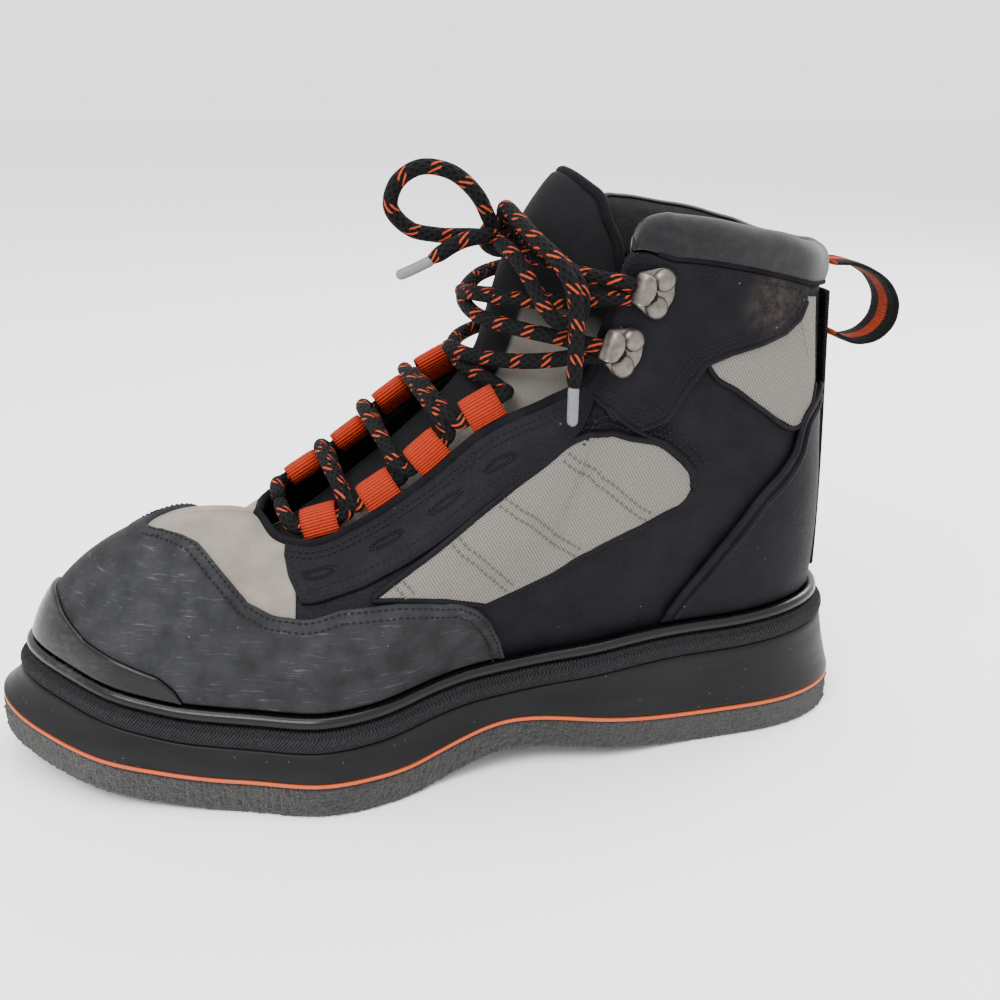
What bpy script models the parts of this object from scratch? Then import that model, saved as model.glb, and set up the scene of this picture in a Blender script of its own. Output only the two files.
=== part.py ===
"""Wading boot for the left foot, with a felt sole, speed hooks and webbing lace loops.

The boot stands on z = 0 with its toe toward -X and its outer side toward -Y.
The origin is on the floor under the heel. Lengths are in metres.
"""
import math

import bmesh
import bpy
import numpy as np
from mathutils import Matrix, Vector

# Driving dimensions of the sole
SOLE_LENGTH = 0.324
BALL_WIDTH = 0.120
HEEL_REACH = 0.049
HEEL_HEIGHT = 0.0376
FELT_THICKNESS = 0.0110
LINE_THICKNESS = 0.0020
ARCH_LIFT = 0.0074
TOE_SPRING = 0.0125
HEEL_FLAT_END = 0.20
FOREFOOT_FLAT_START = 0.575
FOREFOOT_FLAT_END = 0.755
HEEL_DRAFT = 0.0055
SIDE_DRAFT = 0.0035
TOE_DRAFT = 0.0075

# Driving dimensions of the welt
STRIP_HEIGHT = 0.0046
STRIP_WIDTH = 0.0115
LEDGE_WIDTH = 0.0020
LEDGE_RISE = 0.0016
PIPING_RADIUS = 0.0025
PIPING_INSET = 0.0047
SKIRT_HEIGHT = 0.0053

# Driving dimensions of the upper and what lies in it
COLLAR_HEIGHT = 0.182
UPPER_WALL = 0.0022
INSOLE_THICKNESS = 0.0035
GAP = 0.0003

# How finely the rounded forms are divided
SOLE_STATIONS = 24
UPPER_STATIONS = 32
UPPER_ROWS = 7
TONGUE_ROWS = 19
TONGUE_COLUMNS = 7

# Sole outline: share of length, centre toward the inner side and half width as shares of ball width
OUTLINE = [
    (0.025, 0.000, 0.192),
    (0.100, 0.004, 0.325),
    (0.210, 0.004, 0.362),
    (0.340, -0.037, 0.371),
    (0.440, -0.042, 0.350),
    (0.530, -0.054, 0.388),
    (0.600, -0.062, 0.460),
    (0.660, -0.050, 0.497),
    (0.750, 0.015, 0.484),
    (0.830, 0.046, 0.445),
    (0.900, 0.052, 0.372),
    (0.955, 0.066, 0.252),
    (0.985, 0.072, 0.148),
]

# Top of the smooth sole wall: share of length, share of heel height
WALL_TOP = [
    (0.00, 1.03),
    (0.10, 1.00),
    (0.17, 0.95),
    (0.31, 0.92),
    (0.38, 0.84),
    (0.44, 0.77),
    (0.50, 0.73),
    (0.57, 0.645),
    (0.65, 0.605),
    (0.76, 0.605),
    (0.81, 0.635),
    (0.86, 0.72),
    (0.92, 0.83),
    (1.00, 0.94),
]

# Sections of the upper, one row a section. Share of the sole's length at its foot. Its top edge: along as a
# share of length, out as a share of ball width, up as a share of collar height. Lean inward in degrees and
# reach as a share of the section's chord, at the foot and at the top edge.
OUTER_SECTIONS = [
    (0.00, 0.053, 0.000, 0.923, 1, 0.33, 2, 0.33),
    (0.02, 0.068, 0.105, 0.928, -4, 0.33, 3, 0.33),
    (0.06, 0.097, 0.200, 0.938, -9, 0.33, 4, 0.33),
    (0.13, 0.139, 0.258, 0.958, -12, 0.33, 4, 0.33),
    (0.22, 0.204, 0.296, 0.985, -14, 0.33, 2, 0.33),
    (0.31, 0.272, 0.304, 1.002, -14, 0.33, 0, 0.33),
    (0.38, 0.330, 0.292, 1.000, -13, 0.33, 5, 0.33),
    (0.42, 0.343, 0.288, 0.879, -13, 0.34, 12, 0.33),
    (0.46, 0.362, 0.283, 0.780, -13, 0.35, 25, 0.33),
    (0.50, 0.404, 0.275, 0.736, -12, 0.35, 38, 0.33),
    (0.55, 0.472, 0.262, 0.681, -9, 0.35, 44, 0.32),
    (0.60, 0.534, 0.250, 0.588, -5, 0.36, 50, 0.32),
    (0.65, 0.602, 0.233, 0.505, 0, 0.38, 55, 0.33),
    (0.69, 0.657, 0.208, 0.462, 3, 0.38, 62, 0.35),
    (0.72, 0.691, 0.133, 0.462, 5, 0.38, 74, 0.38),
    (0.75, 0.710, -0.017, 0.478, 6, 0.37, 90, 0.40),
    (0.79, 0.741, -0.025, 0.486, 6, 0.36, 90, 0.42),
    (0.83, 0.775, -0.042, 0.484, 6, 0.35, 90, 0.42),
    (0.87, 0.802, -0.050, 0.473, 7, 0.34, 90, 0.42),
    (0.93, 0.802, -0.050, 0.473, 9, 0.32, 90, 0.42),
    (1.00, 0.802, -0.050, 0.473, 14, 0.30, 90, 0.42),
]
INNER_SECTIONS = [
    (0.00, 0.053, 0.000, 0.923, 1, 0.33, 2, 0.33),
    (0.02, 0.068, 0.105, 0.928, -4, 0.33, 3, 0.33),
    (0.06, 0.097, 0.200, 0.938, -9, 0.33, 4, 0.33),
    (0.13, 0.139, 0.258, 0.958, -12, 0.33, 4, 0.33),
    (0.22, 0.204, 0.290, 0.985, -14, 0.33, 2, 0.33),
    (0.31, 0.272, 0.290, 1.002, -18, 0.33, 2, 0.33),
    (0.38, 0.330, 0.275, 1.000, -22, 0.33, 6, 0.33),
    (0.42, 0.343, 0.258, 0.890, -24, 0.34, 14, 0.33),
    (0.46, 0.366, 0.242, 0.802, -25, 0.35, 28, 0.33),
    (0.50, 0.410, 0.208, 0.764, -24, 0.35, 40, 0.33),
    (0.55, 0.472, 0.183, 0.733, -20, 0.35, 48, 0.33),
    (0.60, 0.534, 0.175, 0.670, -15, 0.36, 56, 0.33),
    (0.65, 0.596, 0.167, 0.588, -10, 0.37, 62, 0.34),
    (0.69, 0.657, 0.158, 0.522, -5, 0.37, 68, 0.35),
    (0.72, 0.697, 0.117, 0.486, 0, 0.37, 78, 0.38),
    (0.75, 0.710, 0.017, 0.478, 2, 0.37, 90, 0.40),
    (0.79, 0.741, 0.025, 0.486, 3, 0.36, 90, 0.42),
    (0.83, 0.775, 0.042, 0.484, 4, 0.35, 90, 0.42),
    (0.87, 0.802, 0.050, 0.473, 6, 0.34, 90, 0.42),
    (0.93, 0.802, 0.050, 0.473, 9, 0.32, 90, 0.42),
    (1.00, 0.802, 0.050, 0.473, 14, 0.30, 90, 0.42),
]
THROAT_START = 0.75
CREST_END = 0.87
RIDGE_SLOPE = 0.22
OUTER = -1
INNER = 1

# Tongue, one row a section from its foot to its top: its front along as a share of sole length and up as a
# share of collar height, then how far its outer and inner edges reach and drop back, as shares of ball width,
# and its thickness as a share of the padding
TONGUE_PADDING = 0.009
TONGUE_CENTRE = 0.017
TONGUE = [
    (0.742, 0.425, 0.17, 0.025, 0.13, 0.025, 0.35),
    (0.700, 0.434, 0.21, 0.060, 0.15, 0.030, 0.38),
    (0.650, 0.484, 0.25, 0.110, 0.17, 0.045, 0.40),
    (0.595, 0.555, 0.27, 0.135, 0.20, 0.055, 0.40),
    (0.535, 0.650, 0.270, 0.150, 0.185, 0.085, 0.40),
    (0.490, 0.728, 0.260, 0.200, 0.165, 0.110, 0.45),
    (0.462, 0.800, 0.250, 0.240, 0.165, 0.140, 0.60),
    (0.448, 0.880, 0.240, 0.270, 0.175, 0.180, 0.80),
    (0.434, 0.965, 0.235, 0.270, 0.195, 0.220, 1.00),
    (0.412, 1.050, 0.24, 0.250, 0.225, 0.230, 1.00),
    (0.388, 1.115, 0.22, 0.180, 0.205, 0.170, 0.90),
    (0.368, 1.155, 0.17, 0.090, 0.160, 0.085, 0.60),
]

# Overlays on the upper, by section and by height on it
OVERLAY_THICKNESS = 0.0013
BUMPER_THICKNESS = 0.0016
TOE_CAP_EDGE = [
    (0.440, -0.06), (0.458, 0.08), (0.500, 0.24), (0.552, 0.34), (0.601, 0.44), (0.655, 0.52), (0.706, 0.52),
    (0.747, 0.46), (0.775, 0.58), (0.810, 0.75), (0.850, 0.86), (0.900, 0.89), (1.000, 0.89),
]
BUMPER_EDGE = [
    (0.800, -0.06), (0.820, 0.05), (0.869, 0.14), (0.930, 0.18), (0.964, 0.25), (1.000, 0.31),
]
COUNTER_EDGE = [
    (0.000, 0.68), (0.079, 0.59), (0.124, 0.44), (0.178, 0.30), (0.219, 0.16), (0.262, -0.01), (0.290, -0.12),
]
WING_START = 0.060
WING_END = 0.470
WING_EDGE = [
    (0.050, 1.03), (0.080, 0.93), (0.146, 0.88), (0.188, 0.83), (0.240, 0.77), (0.270, 0.70), (0.300, 0.60),
    (0.339, 0.57), (0.361, 0.60), (0.390, 0.67), (0.430, 0.82), (0.461, 0.97), (0.480, 1.05),
]
EYESTAY_START = 0.482
EYESTAY_END = 0.715
EYESTAY_EDGE = [
    (0.475, 0.84), (0.507, 0.75), (0.562, 0.67), (0.610, 0.62), (0.640, 0.60), (0.695, 0.61), (0.708, 0.76),
    (0.715, 0.95),
]

# Padded collar: its profile as shares of pad and rise, with the number of gaps added to the height
COLLAR_PAD = 0.0095
COLLAR_RISE = 0.0145
COLLAR_END = 0.365
COLLAR_TAPER = 0.045
COLLAR_PROFILE = [
    (0.08, 0.00, 2), (0.25, 0.34, 2), (0.16, 0.76, 2), (-0.20, 1.00, 2), (-0.66, 0.96, 2), (-0.98, 0.60, 2),
    (-1.00, 0.00, 2), (-0.84, -0.50, 2), (-0.46, -0.50, 2), (-0.36, 0.00, 2),
]

# Pull loop: back along the sole's length and up as a share of collar height
STRAP_WIDTH = 0.020
STRAP_THICKNESS = 0.0018
PULL_LOOP = [
    (0.0435, 0.965), (0.0173, 0.962), (-0.0046, 0.948), (-0.0262, 0.923), (-0.0401, 0.882), (-0.0380, 0.838),
    (-0.0216, 0.807), (0.0015, 0.797), (0.0201, 0.8055), (0.0358, 0.8203),
]

# Lace loops, hooks and rivets
OUTER_LOOPS = (0.681, 0.630, 0.588, 0.544)
INNER_LOOPS = (0.684, 0.6455, 0.603, 0.563)
LOOP_WIDTH = 0.0130
LOOP_REACH = 0.0125
LOOP_WALL = 0.0011
LOOP_PROFILE = [
    (0.0, -0.05), (0.28, -0.10), (0.62, -0.07), (0.90, 0.05), (1.0, 0.25), (0.92, 0.46), (0.64, 0.57),
    (0.28, 0.44), (0.0, 0.09),
]
LOOP_HOLE = (0.55, 0.24)
LOOP_SET_OFF = 0.0009
HOOKS = [
    ("upper", (0.330, 0.94), (0.336, 0.88)),
    ("lower", (0.361, 0.79), (0.371, 0.74)),
]
HOOK_LENGTH = 0.0150
HOOK_HEIGHT = 0.0175
HOOK_GAUGE = 0.0012
HOOK_PATH = [
    (-0.33, 0.00, 0.90), (0.05, 0.00, 1.00), (0.34, 0.00, 0.80), (0.55, 0.05, 0.66), (0.70, 0.20, 0.60),
    (0.72, 0.38, 0.60), (0.60, 0.54, 0.60), (0.42, 0.58, 0.55), (0.26, 0.52, 0.45),
]
RIVET_RADIUS = 0.0040
RIVET_DOME = 0.0021
RIVET_SPACING = 0.0094

# Lace: its size, and its free stretches as places in millimetres from a start at the heel, across and up,
# chosen on a boot of the sole length, ball width and collar height named
LACE_DIAMETER = 0.0054
AGLET_DIAMETER = 0.0034
KNOT_RADIUS = 0.0060
CORD_STEP = 0.0155
LACE_SET_OFF = 0.0036
LACE_LEAD = 0.0025
BAR_HUMP = 0.0034
CROSS_HUMP = 0.006
LACE_START = 4
LACE_CHOSEN_ON = (324, 120, 182)
LACE_TO_LOWER_OUTER = [
    (146, 17, 140), (150, 12, 143), (153, 2, 146), (149, -12, 146), (138, -24, 147), (126, -33, 149),
    (119, -38, 151),
]
LACE_TO_LOWER_INNER = [
    (140.5, -25, 136.5), (146, -19, 140), (153, -8, 143), (155, 4, 146), (150, 18, 147), (136, 30, 149),
    (121, 38, 151),
]
LACE_TO_UPPER_OUTER = [
    (115, 42.5, 156.5), (125, 36, 159), (138, 24, 162), (148, 8, 165), (147, -8, 167), (136, -22, 168),
    (122, -33, 169), (109, -40, 171),
]
LACE_TO_UPPER_INNER = [
    (113, -42, 155), (124, -36, 157), (138, -25, 159), (149, -10, 162), (150, 6, 166), (141, 20, 169),
    (126, 33, 171), (109, 39, 173),
]
STRAND_OUTER = [
    (104, -42, 176.1), (112, -37, 177.2), (120, -30, 178.7), (128, -22, 181.5), (135.6, -14.3, 184.0),
]
STRAND_INNER = [
    (105, 42, 180), (114, 38, 181), (124, 29, 182.5), (133, 18, 184.5), (143, 0.4, 185.6),
]
KNOT = [(136, -11, 189), (140, -7, 187), (142, -2, 186)]
BOW_LEFT = [
    (142.6, -8.9, 192.4), (148, -10, 202), (158, -10, 210), (168, -9, 211), (175, -7, 206), (177, -5, 198),
    (170, -4, 190), (161, -5, 188), (148.4, -6, 187.6),
]
BOW_RIGHT = [
    (134.4, -12.6, 189.8), (131, -29, 187), (126, -35, 182), (122, -40, 175), (121, -43, 169), (124, -42, 166.5),
    (129, -39, 172), (134, -34, 179), (138, -27, 184), (140.5, -15.9, 186.0),
]
END_LEFT = [(145.5, -13, 188.5), (154, -14, 187), (163, -14, 182), (166, -14, 180)]
AGLET_LEFT = [(166.5, -14, 179.8), (172, -14, 177.3), (177, -14, 175.3)]
END_RIGHT = [
    (138.5, -11, 197.2), (137, -22, 195.5), (134, -35, 190.5), (130, -43, 186), (127, -48, 181), (124.5, -50, 174), (123.6, -50.5, 163),
    (123.6, -50.5, 152), (123.8, -50.5, 142),
]
AGLET_RIGHT = [(123.8, -50.5, 141.6), (123.8, -50.5, 135), (123.8, -50.5, 130)]


def smooth_column(rows, column, at):
    """Cubic curve through one column of a table, with slopes from the neighbouring rows."""
    table = np.asarray(rows, dtype=float)
    knots = table[:, 0]
    values = table[:, column]
    slopes = np.gradient(values, knots)
    at = np.clip(np.asarray(at, dtype=float), knots[0], knots[-1])
    index = np.clip(np.searchsorted(knots, at, side="right") - 1, 0, len(knots) - 2)
    width = knots[index + 1] - knots[index]
    t = (at - knots[index]) / width
    return (values[index] * (2 * t ** 3 - 3 * t ** 2 + 1)
            + slopes[index] * width * (t ** 3 - 2 * t ** 2 + t)
            + values[index + 1] * (3 * t ** 2 - 2 * t ** 3)
            + slopes[index + 1] * width * (t ** 3 - t ** 2))


def ease(t):
    """S-shaped blend from 0 to 1."""
    t = np.clip(t, 0.0, 1.0)
    return t * t * (3 - 2 * t)


def share_at(x):
    """Share of the sole's length, from the heel, at a place along X."""
    return (HEEL_REACH - x) / SOLE_LENGTH


FULLNESS = [(share, centre, half / (2 * math.sqrt(share * (1 - share)))) for share, centre, half in OUTLINE]


def outline_xy(turn, side):
    """Point of the sole's outline. turn runs from 0 at the heel to pi at the toe."""
    share = (1 - np.cos(turn)) / 2
    half = smooth_column(FULLNESS, 2, share) * np.sin(turn)
    centre = smooth_column(FULLNESS, 1, share)
    return HEEL_REACH - share * SOLE_LENGTH, (centre + side * half) * BALL_WIDTH


def inset_outline(turn, side, inset):
    """Sole outline moved inward square to itself, with the inward directions."""
    step = 1e-4
    x0, y0 = outline_xy(turn - step, side)
    x1, y1 = outline_xy(turn + step, side)
    length = np.hypot(x1 - x0, y1 - y0)
    inward_x = -side * (y1 - y0) / length
    inward_y = side * (x1 - x0) / length
    x, y = outline_xy(turn, side)
    return x + inward_x * inset, y + inward_y * inset, inward_x, inward_y


def floor_height(x):
    """Underside of the felt: flat at heel and forefoot, raised at the arch and the toe."""
    share = share_at(x)
    arch_top = (HEEL_FLAT_END + FOREFOOT_FLAT_START) / 2 + 0.06
    rise = ease((share - HEEL_FLAT_END) / (arch_top - HEEL_FLAT_END))
    fall = ease((FOREFOOT_FLAT_START - share) / (FOREFOOT_FLAT_START - arch_top))
    toe = np.clip((share - FOREFOOT_FLAT_END) / (1 - FOREFOOT_FLAT_END), 0, 1)
    return ARCH_LIFT * np.minimum(rise, fall) + TOE_SPRING * toe ** 1.7


def wall_top(x):
    """Height of the top of the smooth sole wall."""
    return HEEL_HEIGHT * smooth_column(WALL_TOP, 1, share_at(x))


def wall_draft(share):
    """How far the top of the sole wall lies inside its foot: more at the heel's back and at the toe."""
    return (SIDE_DRAFT + (HEEL_DRAFT - SIDE_DRAFT) * ease((0.12 - share) / 0.12)
            + (TOE_DRAFT - SIDE_DRAFT) * ease((share - 0.84) / 0.16))


def seat_height(x):
    """Height of the face on which the upper and the insole sit."""
    return wall_top(x) + GAP + STRIP_HEIGHT + LEDGE_RISE + GAP


UPPER_INSET = PIPING_INSET + PIPING_RADIUS + GAP


def top_across(rows, share):
    """How far the top edge lies from the middle, as a share of ball width: round where it meets at the heel."""
    table = [(row[0], row[2] / math.sqrt(row[0] * (1 - row[0]))) for row in rows if 0 < row[0] < 1]
    return smooth_column(table, 1, share) * np.sqrt(share * (1 - share))


def top_edge(share, side):
    """Top edge of the upper: collar line, throat edge, then the ridge where both sides meet."""
    crest = np.minimum(share, CREST_END)
    own = OUTER_SECTIONS if side == OUTER else INNER_SECTIONS
    other = INNER_SECTIONS if side == OUTER else OUTER_SECTIONS
    shared = np.where(crest > THROAT_START, 0.5, 0.0)
    along = smooth_column(own, 1, crest) * (1 - shared) + smooth_column(other, 1, crest) * shared
    across = top_across(own, crest) * (1 - shared) - top_across(other, crest) * shared
    up = smooth_column(own, 3, crest) * (1 - shared) + smooth_column(other, 3, crest) * shared
    return HEEL_REACH - along * SOLE_LENGTH, side * across * BALL_WIDTH, up * COLLAR_HEIGHT


def upper_point(turn, side, h):
    """Point of the upper's outer face. h runs from 0 above the skirt to 1 at the top edge.

    Each section is a cubic curve between the foot line and the top edge, with a lean and a reach at each end.
    """
    rows = OUTER_SECTIONS if side == OUTER else INNER_SECTIONS
    share = (1 - np.cos(turn)) / 2
    low_lean, low_reach, top_lean, top_reach = [smooth_column(rows, i, share) for i in (4, 5, 6, 7)]
    low_lean, top_lean = np.radians(low_lean), np.radians(top_lean)
    x, y, inward_x, inward_y = inset_outline(turn, side, UPPER_INSET + wall_draft(share))
    z = seat_height(x) + SKIRT_HEIGHT
    top_x, top_y, top_z = top_edge(share, side)
    chord = np.sqrt((top_x - x) ** 2 + (top_y - y) ** 2 + (top_z - z) ** 2)
    level = np.hypot(top_x - x, top_y - y) + 1e-9
    toward_ridge = ease((share - 0.55) / 0.2)
    over_x = inward_x * (1 - toward_ridge) + (top_x - x) / level * toward_ridge
    over_y = inward_y * (1 - toward_ridge) + (top_y - y) / level * toward_ridge
    over = np.hypot(over_x, over_y)
    over_x, over_y = over_x / over, over_y / over
    ridge_slope = RIDGE_SLOPE * ease((share - THROAT_START) / (CREST_END - THROAT_START))
    low = low_reach * chord
    top = top_reach * chord
    p0 = (x, y, z)
    p1 = (x + inward_x * np.sin(low_lean) * low,
          y + inward_y * np.sin(low_lean) * low,
          z + np.cos(low_lean) * low)
    p2 = (top_x - over_x * np.sin(top_lean) * top,
          top_y - over_y * np.sin(top_lean) * top,
          top_z - (np.cos(top_lean) + ridge_slope * over_x) * top)
    p3 = (top_x, top_y, top_z)
    weights = ((1 - h) ** 3, 3 * h * (1 - h) ** 2, 3 * h ** 2 * (1 - h), h ** 3)
    return np.stack([sum(w * p[i] for w, p in zip(weights, (p0, p1, p2, p3))) for i in range(3)], axis=-1)


def finish_material(name, colour, roughness=0.7, metallic=0.0):
    """Plain Principled material."""
    material = bpy.data.materials.new(name)
    material.use_nodes = True
    shader = material.node_tree.nodes["Principled BSDF"]
    shader.inputs["Base Color"].default_value = (*colour, 1)
    shader.inputs["Roughness"].default_value = roughness
    shader.inputs["Metallic"].default_value = metallic
    return material


def add_object(name, mesh, material, collection="wading_boot"):
    """Puts a mesh in a collection as a named object."""
    body = bpy.data.objects.new(name, mesh)
    if material:
        mesh.materials.append(material)
    bpy.data.collections[collection].objects.link(body)
    return body


def mesh_from(name, points, faces, merge=0.0):
    """Mesh from points and faces, with near points merged and normals turned outward."""
    mesh = bpy.data.meshes.new(name)
    mesh.from_pydata([tuple(p) for p in points], [], faces)
    work = bmesh.new()
    work.from_mesh(mesh)
    if merge:
        bmesh.ops.remove_doubles(work, verts=work.verts, dist=merge)
        bmesh.ops.dissolve_degenerate(work, edges=work.edges, dist=merge / 2)
    bmesh.ops.recalc_face_normals(work, faces=work.faces)
    work.to_mesh(mesh)
    work.free()
    return mesh


def perimeter(stations, draft, inset):
    """Closed ring of points round the sole, outer side first, moved inward by a part of the draft and an inset."""
    turn = np.linspace(0, math.pi, stations + 1)
    inward = draft * wall_draft((1 - np.cos(turn)) / 2) + inset
    x0, y0, _, _ = inset_outline(turn, OUTER, inward)
    x1, y1, _, _ = inset_outline(turn[1:-1][::-1], INNER, inward[1:-1][::-1])
    return np.concatenate([x0, x1]), np.concatenate([y0, y1])


def ring_faces(rings, count, closed):
    """Quads between neighbouring rings of a stack, closed on itself for a hollow ring."""
    faces = []
    pairs = [(k, k + 1) for k in range(rings - 1)]
    if closed:
        pairs.append((rings - 1, 0))
    for low, high in pairs:
        for i in range(count):
            j = (i + 1) % count
            faces.append((low * count + i, low * count + j, high * count + j, high * count + i))
    return faces


def sole_stack(name, rings, material):
    """Solid between stacked rings of the outline. rings holds a part of the draft, an inset and a height function."""
    count = 2 * SOLE_STATIONS
    points = []
    for draft, inset, height in rings:
        x, y = perimeter(SOLE_STATIONS, draft, inset)
        points.extend(np.stack([x, y, height(x)], axis=-1))
    faces = ring_faces(len(rings), count, False)
    for ring in (0, len(rings) - 1):
        first = ring * count
        ladder = [first + i for i in range(count)]
        for i in range(SOLE_STATIONS):
            rung = (ladder[i], ladder[i + 1], ladder[(count - i - 1) % count], ladder[(count - i) % count])
            corners = list(dict.fromkeys(rung))
            if len(corners) > 2:
                faces.append(corners)
    return add_object(name, mesh_from(name, points, faces), material)


def sole_ring(name, profile, material, stations=SOLE_STATIONS):
    """Hollow ring along the drafted outline. profile holds an inset and a height function for each corner."""
    points = []
    for inset, height in profile:
        x, y = perimeter(stations, 1, inset)
        points.extend(np.stack([x, y, height(x)], axis=-1))
    return add_object(name, mesh_from(name, points, ring_faces(len(profile), 2 * stations, True)), material)


def above(height, rise):
    """Height function raised by a fixed amount."""
    return lambda x: height(x) + rise


def build_sole():
    """Felt, bright line, midsole, welt strip, piping and insole."""
    line_low = above(floor_height, FELT_THICKNESS + GAP)
    line_high = above(line_low, LINE_THICKNESS - 2 * GAP)
    sole_stack("felt_outsole", [
        (0, 0.0006, floor_height),
        (0, 0, above(floor_height, 0.0012)),
        (0, 0, above(floor_height, FELT_THICKNESS)),
    ], finish_material("felt", (0.075, 0.075, 0.068), 0.95))
    sole_stack("sole_line", [(0, 0, line_low), (0, 0, line_high)],
               finish_material("bright_rubber", (0.80, 0.17, 0.06), 0.6))
    plateau = STRIP_WIDTH + GAP
    sole_stack("midsole", [
        (0, 0, above(line_high, GAP)),
        (0.55, 0, lambda x: 0.5 * (line_high(x) + GAP + wall_top(x))),
        (1, 0, wall_top),
        (1, plateau, wall_top),
        (1, plateau, above(seat_height, -GAP)),
    ], finish_material("midsole_rubber", (0.017, 0.017, 0.017), 0.55))
    strip_low = above(wall_top, GAP)
    strip_high = above(strip_low, STRIP_HEIGHT)
    sole_ring("welt_strip", [
        (0.0, strip_low),
        (-0.0004, above(strip_low, STRIP_HEIGHT * 0.5)),
        (0.0002, strip_high),
        (LEDGE_WIDTH, strip_high),
        (LEDGE_WIDTH + 0.0004, above(strip_high, LEDGE_RISE)),
        (STRIP_WIDTH, above(strip_high, LEDGE_RISE)),
        (STRIP_WIDTH, strip_low),
    ], finish_material("rough_rubber", (0.045, 0.045, 0.048), 0.9))
    middle = above(seat_height, PIPING_RADIUS)
    corners = [2 * math.pi * (k + 0.5) / 6 for k in range(6)]
    sole_ring("welt_piping", [
        (PIPING_INSET + PIPING_RADIUS * math.cos(a), above(middle, PIPING_RADIUS * math.sin(a)))
        for a in corners
    ], finish_material("gloss_rubber", (0.012, 0.012, 0.013), 0.25), UPPER_STATIONS)
    inside = UPPER_INSET + UPPER_WALL + 2 * GAP
    sole_stack("insole", [(1, inside, seat_height), (1, inside, above(seat_height, INSOLE_THICKNESS))],
               finish_material("insole_fabric", (0.05, 0.05, 0.055), 0.9))


def upper_sheet(lift=0.0, skirt=True):
    """Open triangle sheet of the upper's outer face, moved outward by lift.

    Each vertex keeps its section (share of length at the foot), its height on the section and its side.
    """
    work = bmesh.new()
    layers = [work.verts.layers.float.new(name) for name in ("share", "height", "side")]
    turn = np.linspace(0, math.pi, UPPER_STATIONS + 1)
    columns = [(t, OUTER) for t in turn] + [(t, INNER) for t in turn[1:-1][::-1]]
    heights = np.linspace(0, 1, UPPER_ROWS + 1)
    grid = []
    for t, side in columns:
        line = upper_point(np.full(UPPER_ROWS + 1, t), side, heights)
        column = [work.verts.new(place) for place in line]
        for vert, height in zip(column, heights):
            vert[layers[0]] = (1 - math.cos(t)) / 2
            vert[layers[1]] = height
            vert[layers[2]] = side
        if skirt:
            column.insert(0, work.verts.new(line[0] - np.array([0, 0, SKIRT_HEIGHT])))
        grid.append(column)
    for here, beside in zip(grid, grid[1:] + grid[:1]):
        for k in range(len(here) - 1):
            work.faces.new((here[k], beside[k], beside[k + 1], here[k + 1]))
    bmesh.ops.remove_doubles(work, verts=work.verts, dist=2e-5)
    bmesh.ops.triangulate(work, faces=work.faces, quad_method="FIXED")
    bmesh.ops.recalc_face_normals(work, faces=work.faces)
    side_face = min(work.faces, key=lambda face: face.calc_center_median().y)
    if side_face.normal.y > 0:
        bmesh.ops.reverse_faces(work, faces=work.faces)
    work.normal_update()
    for vert, place in [(v, v.co + v.normal * lift) for v in work.verts]:
        vert.co = place
    return work


def clip_sheet(work, field):
    """Keeps the part of a triangle sheet where field(share, height, side, place) is above zero."""
    share, height, side = [work.verts.layers.float[name] for name in ("share", "height", "side")]
    value = {v: field(v[share], v[height], v[side], v.co) for v in work.verts}
    near = 0.08
    for edge in work.edges:
        v, w = edge.verts
        if value[v] * value[w] < 0:
            for one, other in ((v, w), (w, v)):
                if abs(value[one]) < near * abs(value[one] - value[other]):
                    value[one] = 0.0
    for edge in list(work.edges):
        v, w = edge.verts
        if value[v] * value[w] < 0:
            _, middle = bmesh.utils.edge_split(edge, v, value[v] / (value[v] - value[w]))
            value[middle] = 0.0
    for face in list(work.faces):
        if any(value[v] > 0 for v in face.verts) and any(value[v] < 0 for v in face.verts):
            ends = [v for v in face.verts if value[v] == 0]
            if len(ends) == 2:
                bmesh.utils.face_split(face, ends[0], ends[1])
    outside = [face for face in work.faces if max(value[v] for v in face.verts) <= 0]
    bmesh.ops.delete(work, geom=outside, context="FACES")
    bmesh.ops.triangulate(work, faces=work.faces)


def solidify(name, work, thickness, direction, material):
    """Object from a sheet, with its wall inward (-1) or outward (1)."""
    mesh = bpy.data.meshes.new(name)
    work.to_mesh(mesh)
    work.free()
    body = add_object(name, mesh, material)
    wall = body.modifiers.new("wall", "SOLIDIFY")
    wall.thickness = thickness
    wall.offset = direction
    wall.use_even_offset = True
    wall.use_rim = True
    return body


def build_upper():
    """Upper shell: the outer face given its wall by Solidify."""
    solidify("upper", upper_sheet(), UPPER_WALL, -1, finish_material("upper_leather", (0.02, 0.02, 0.024), 0.5))


def edge_field(table, sides=(OUTER, INNER)):
    """Field that is above zero below a height given along the sections, on the sides named."""
    def field(share, height, side, place):
        if side not in sides:
            return -1.0
        return float(smooth_column(table, 1, share)) - height
    return field


def band_field(table, start, end, sides):
    """Field that is above zero above a height given along the sections, between two sections."""
    def field(share, height, side, place):
        if side not in sides:
            return -1.0
        return min(height - float(smooth_column(table, 1, share)), (share - start) * 8, (end - share) * 8)
    return field


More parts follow.
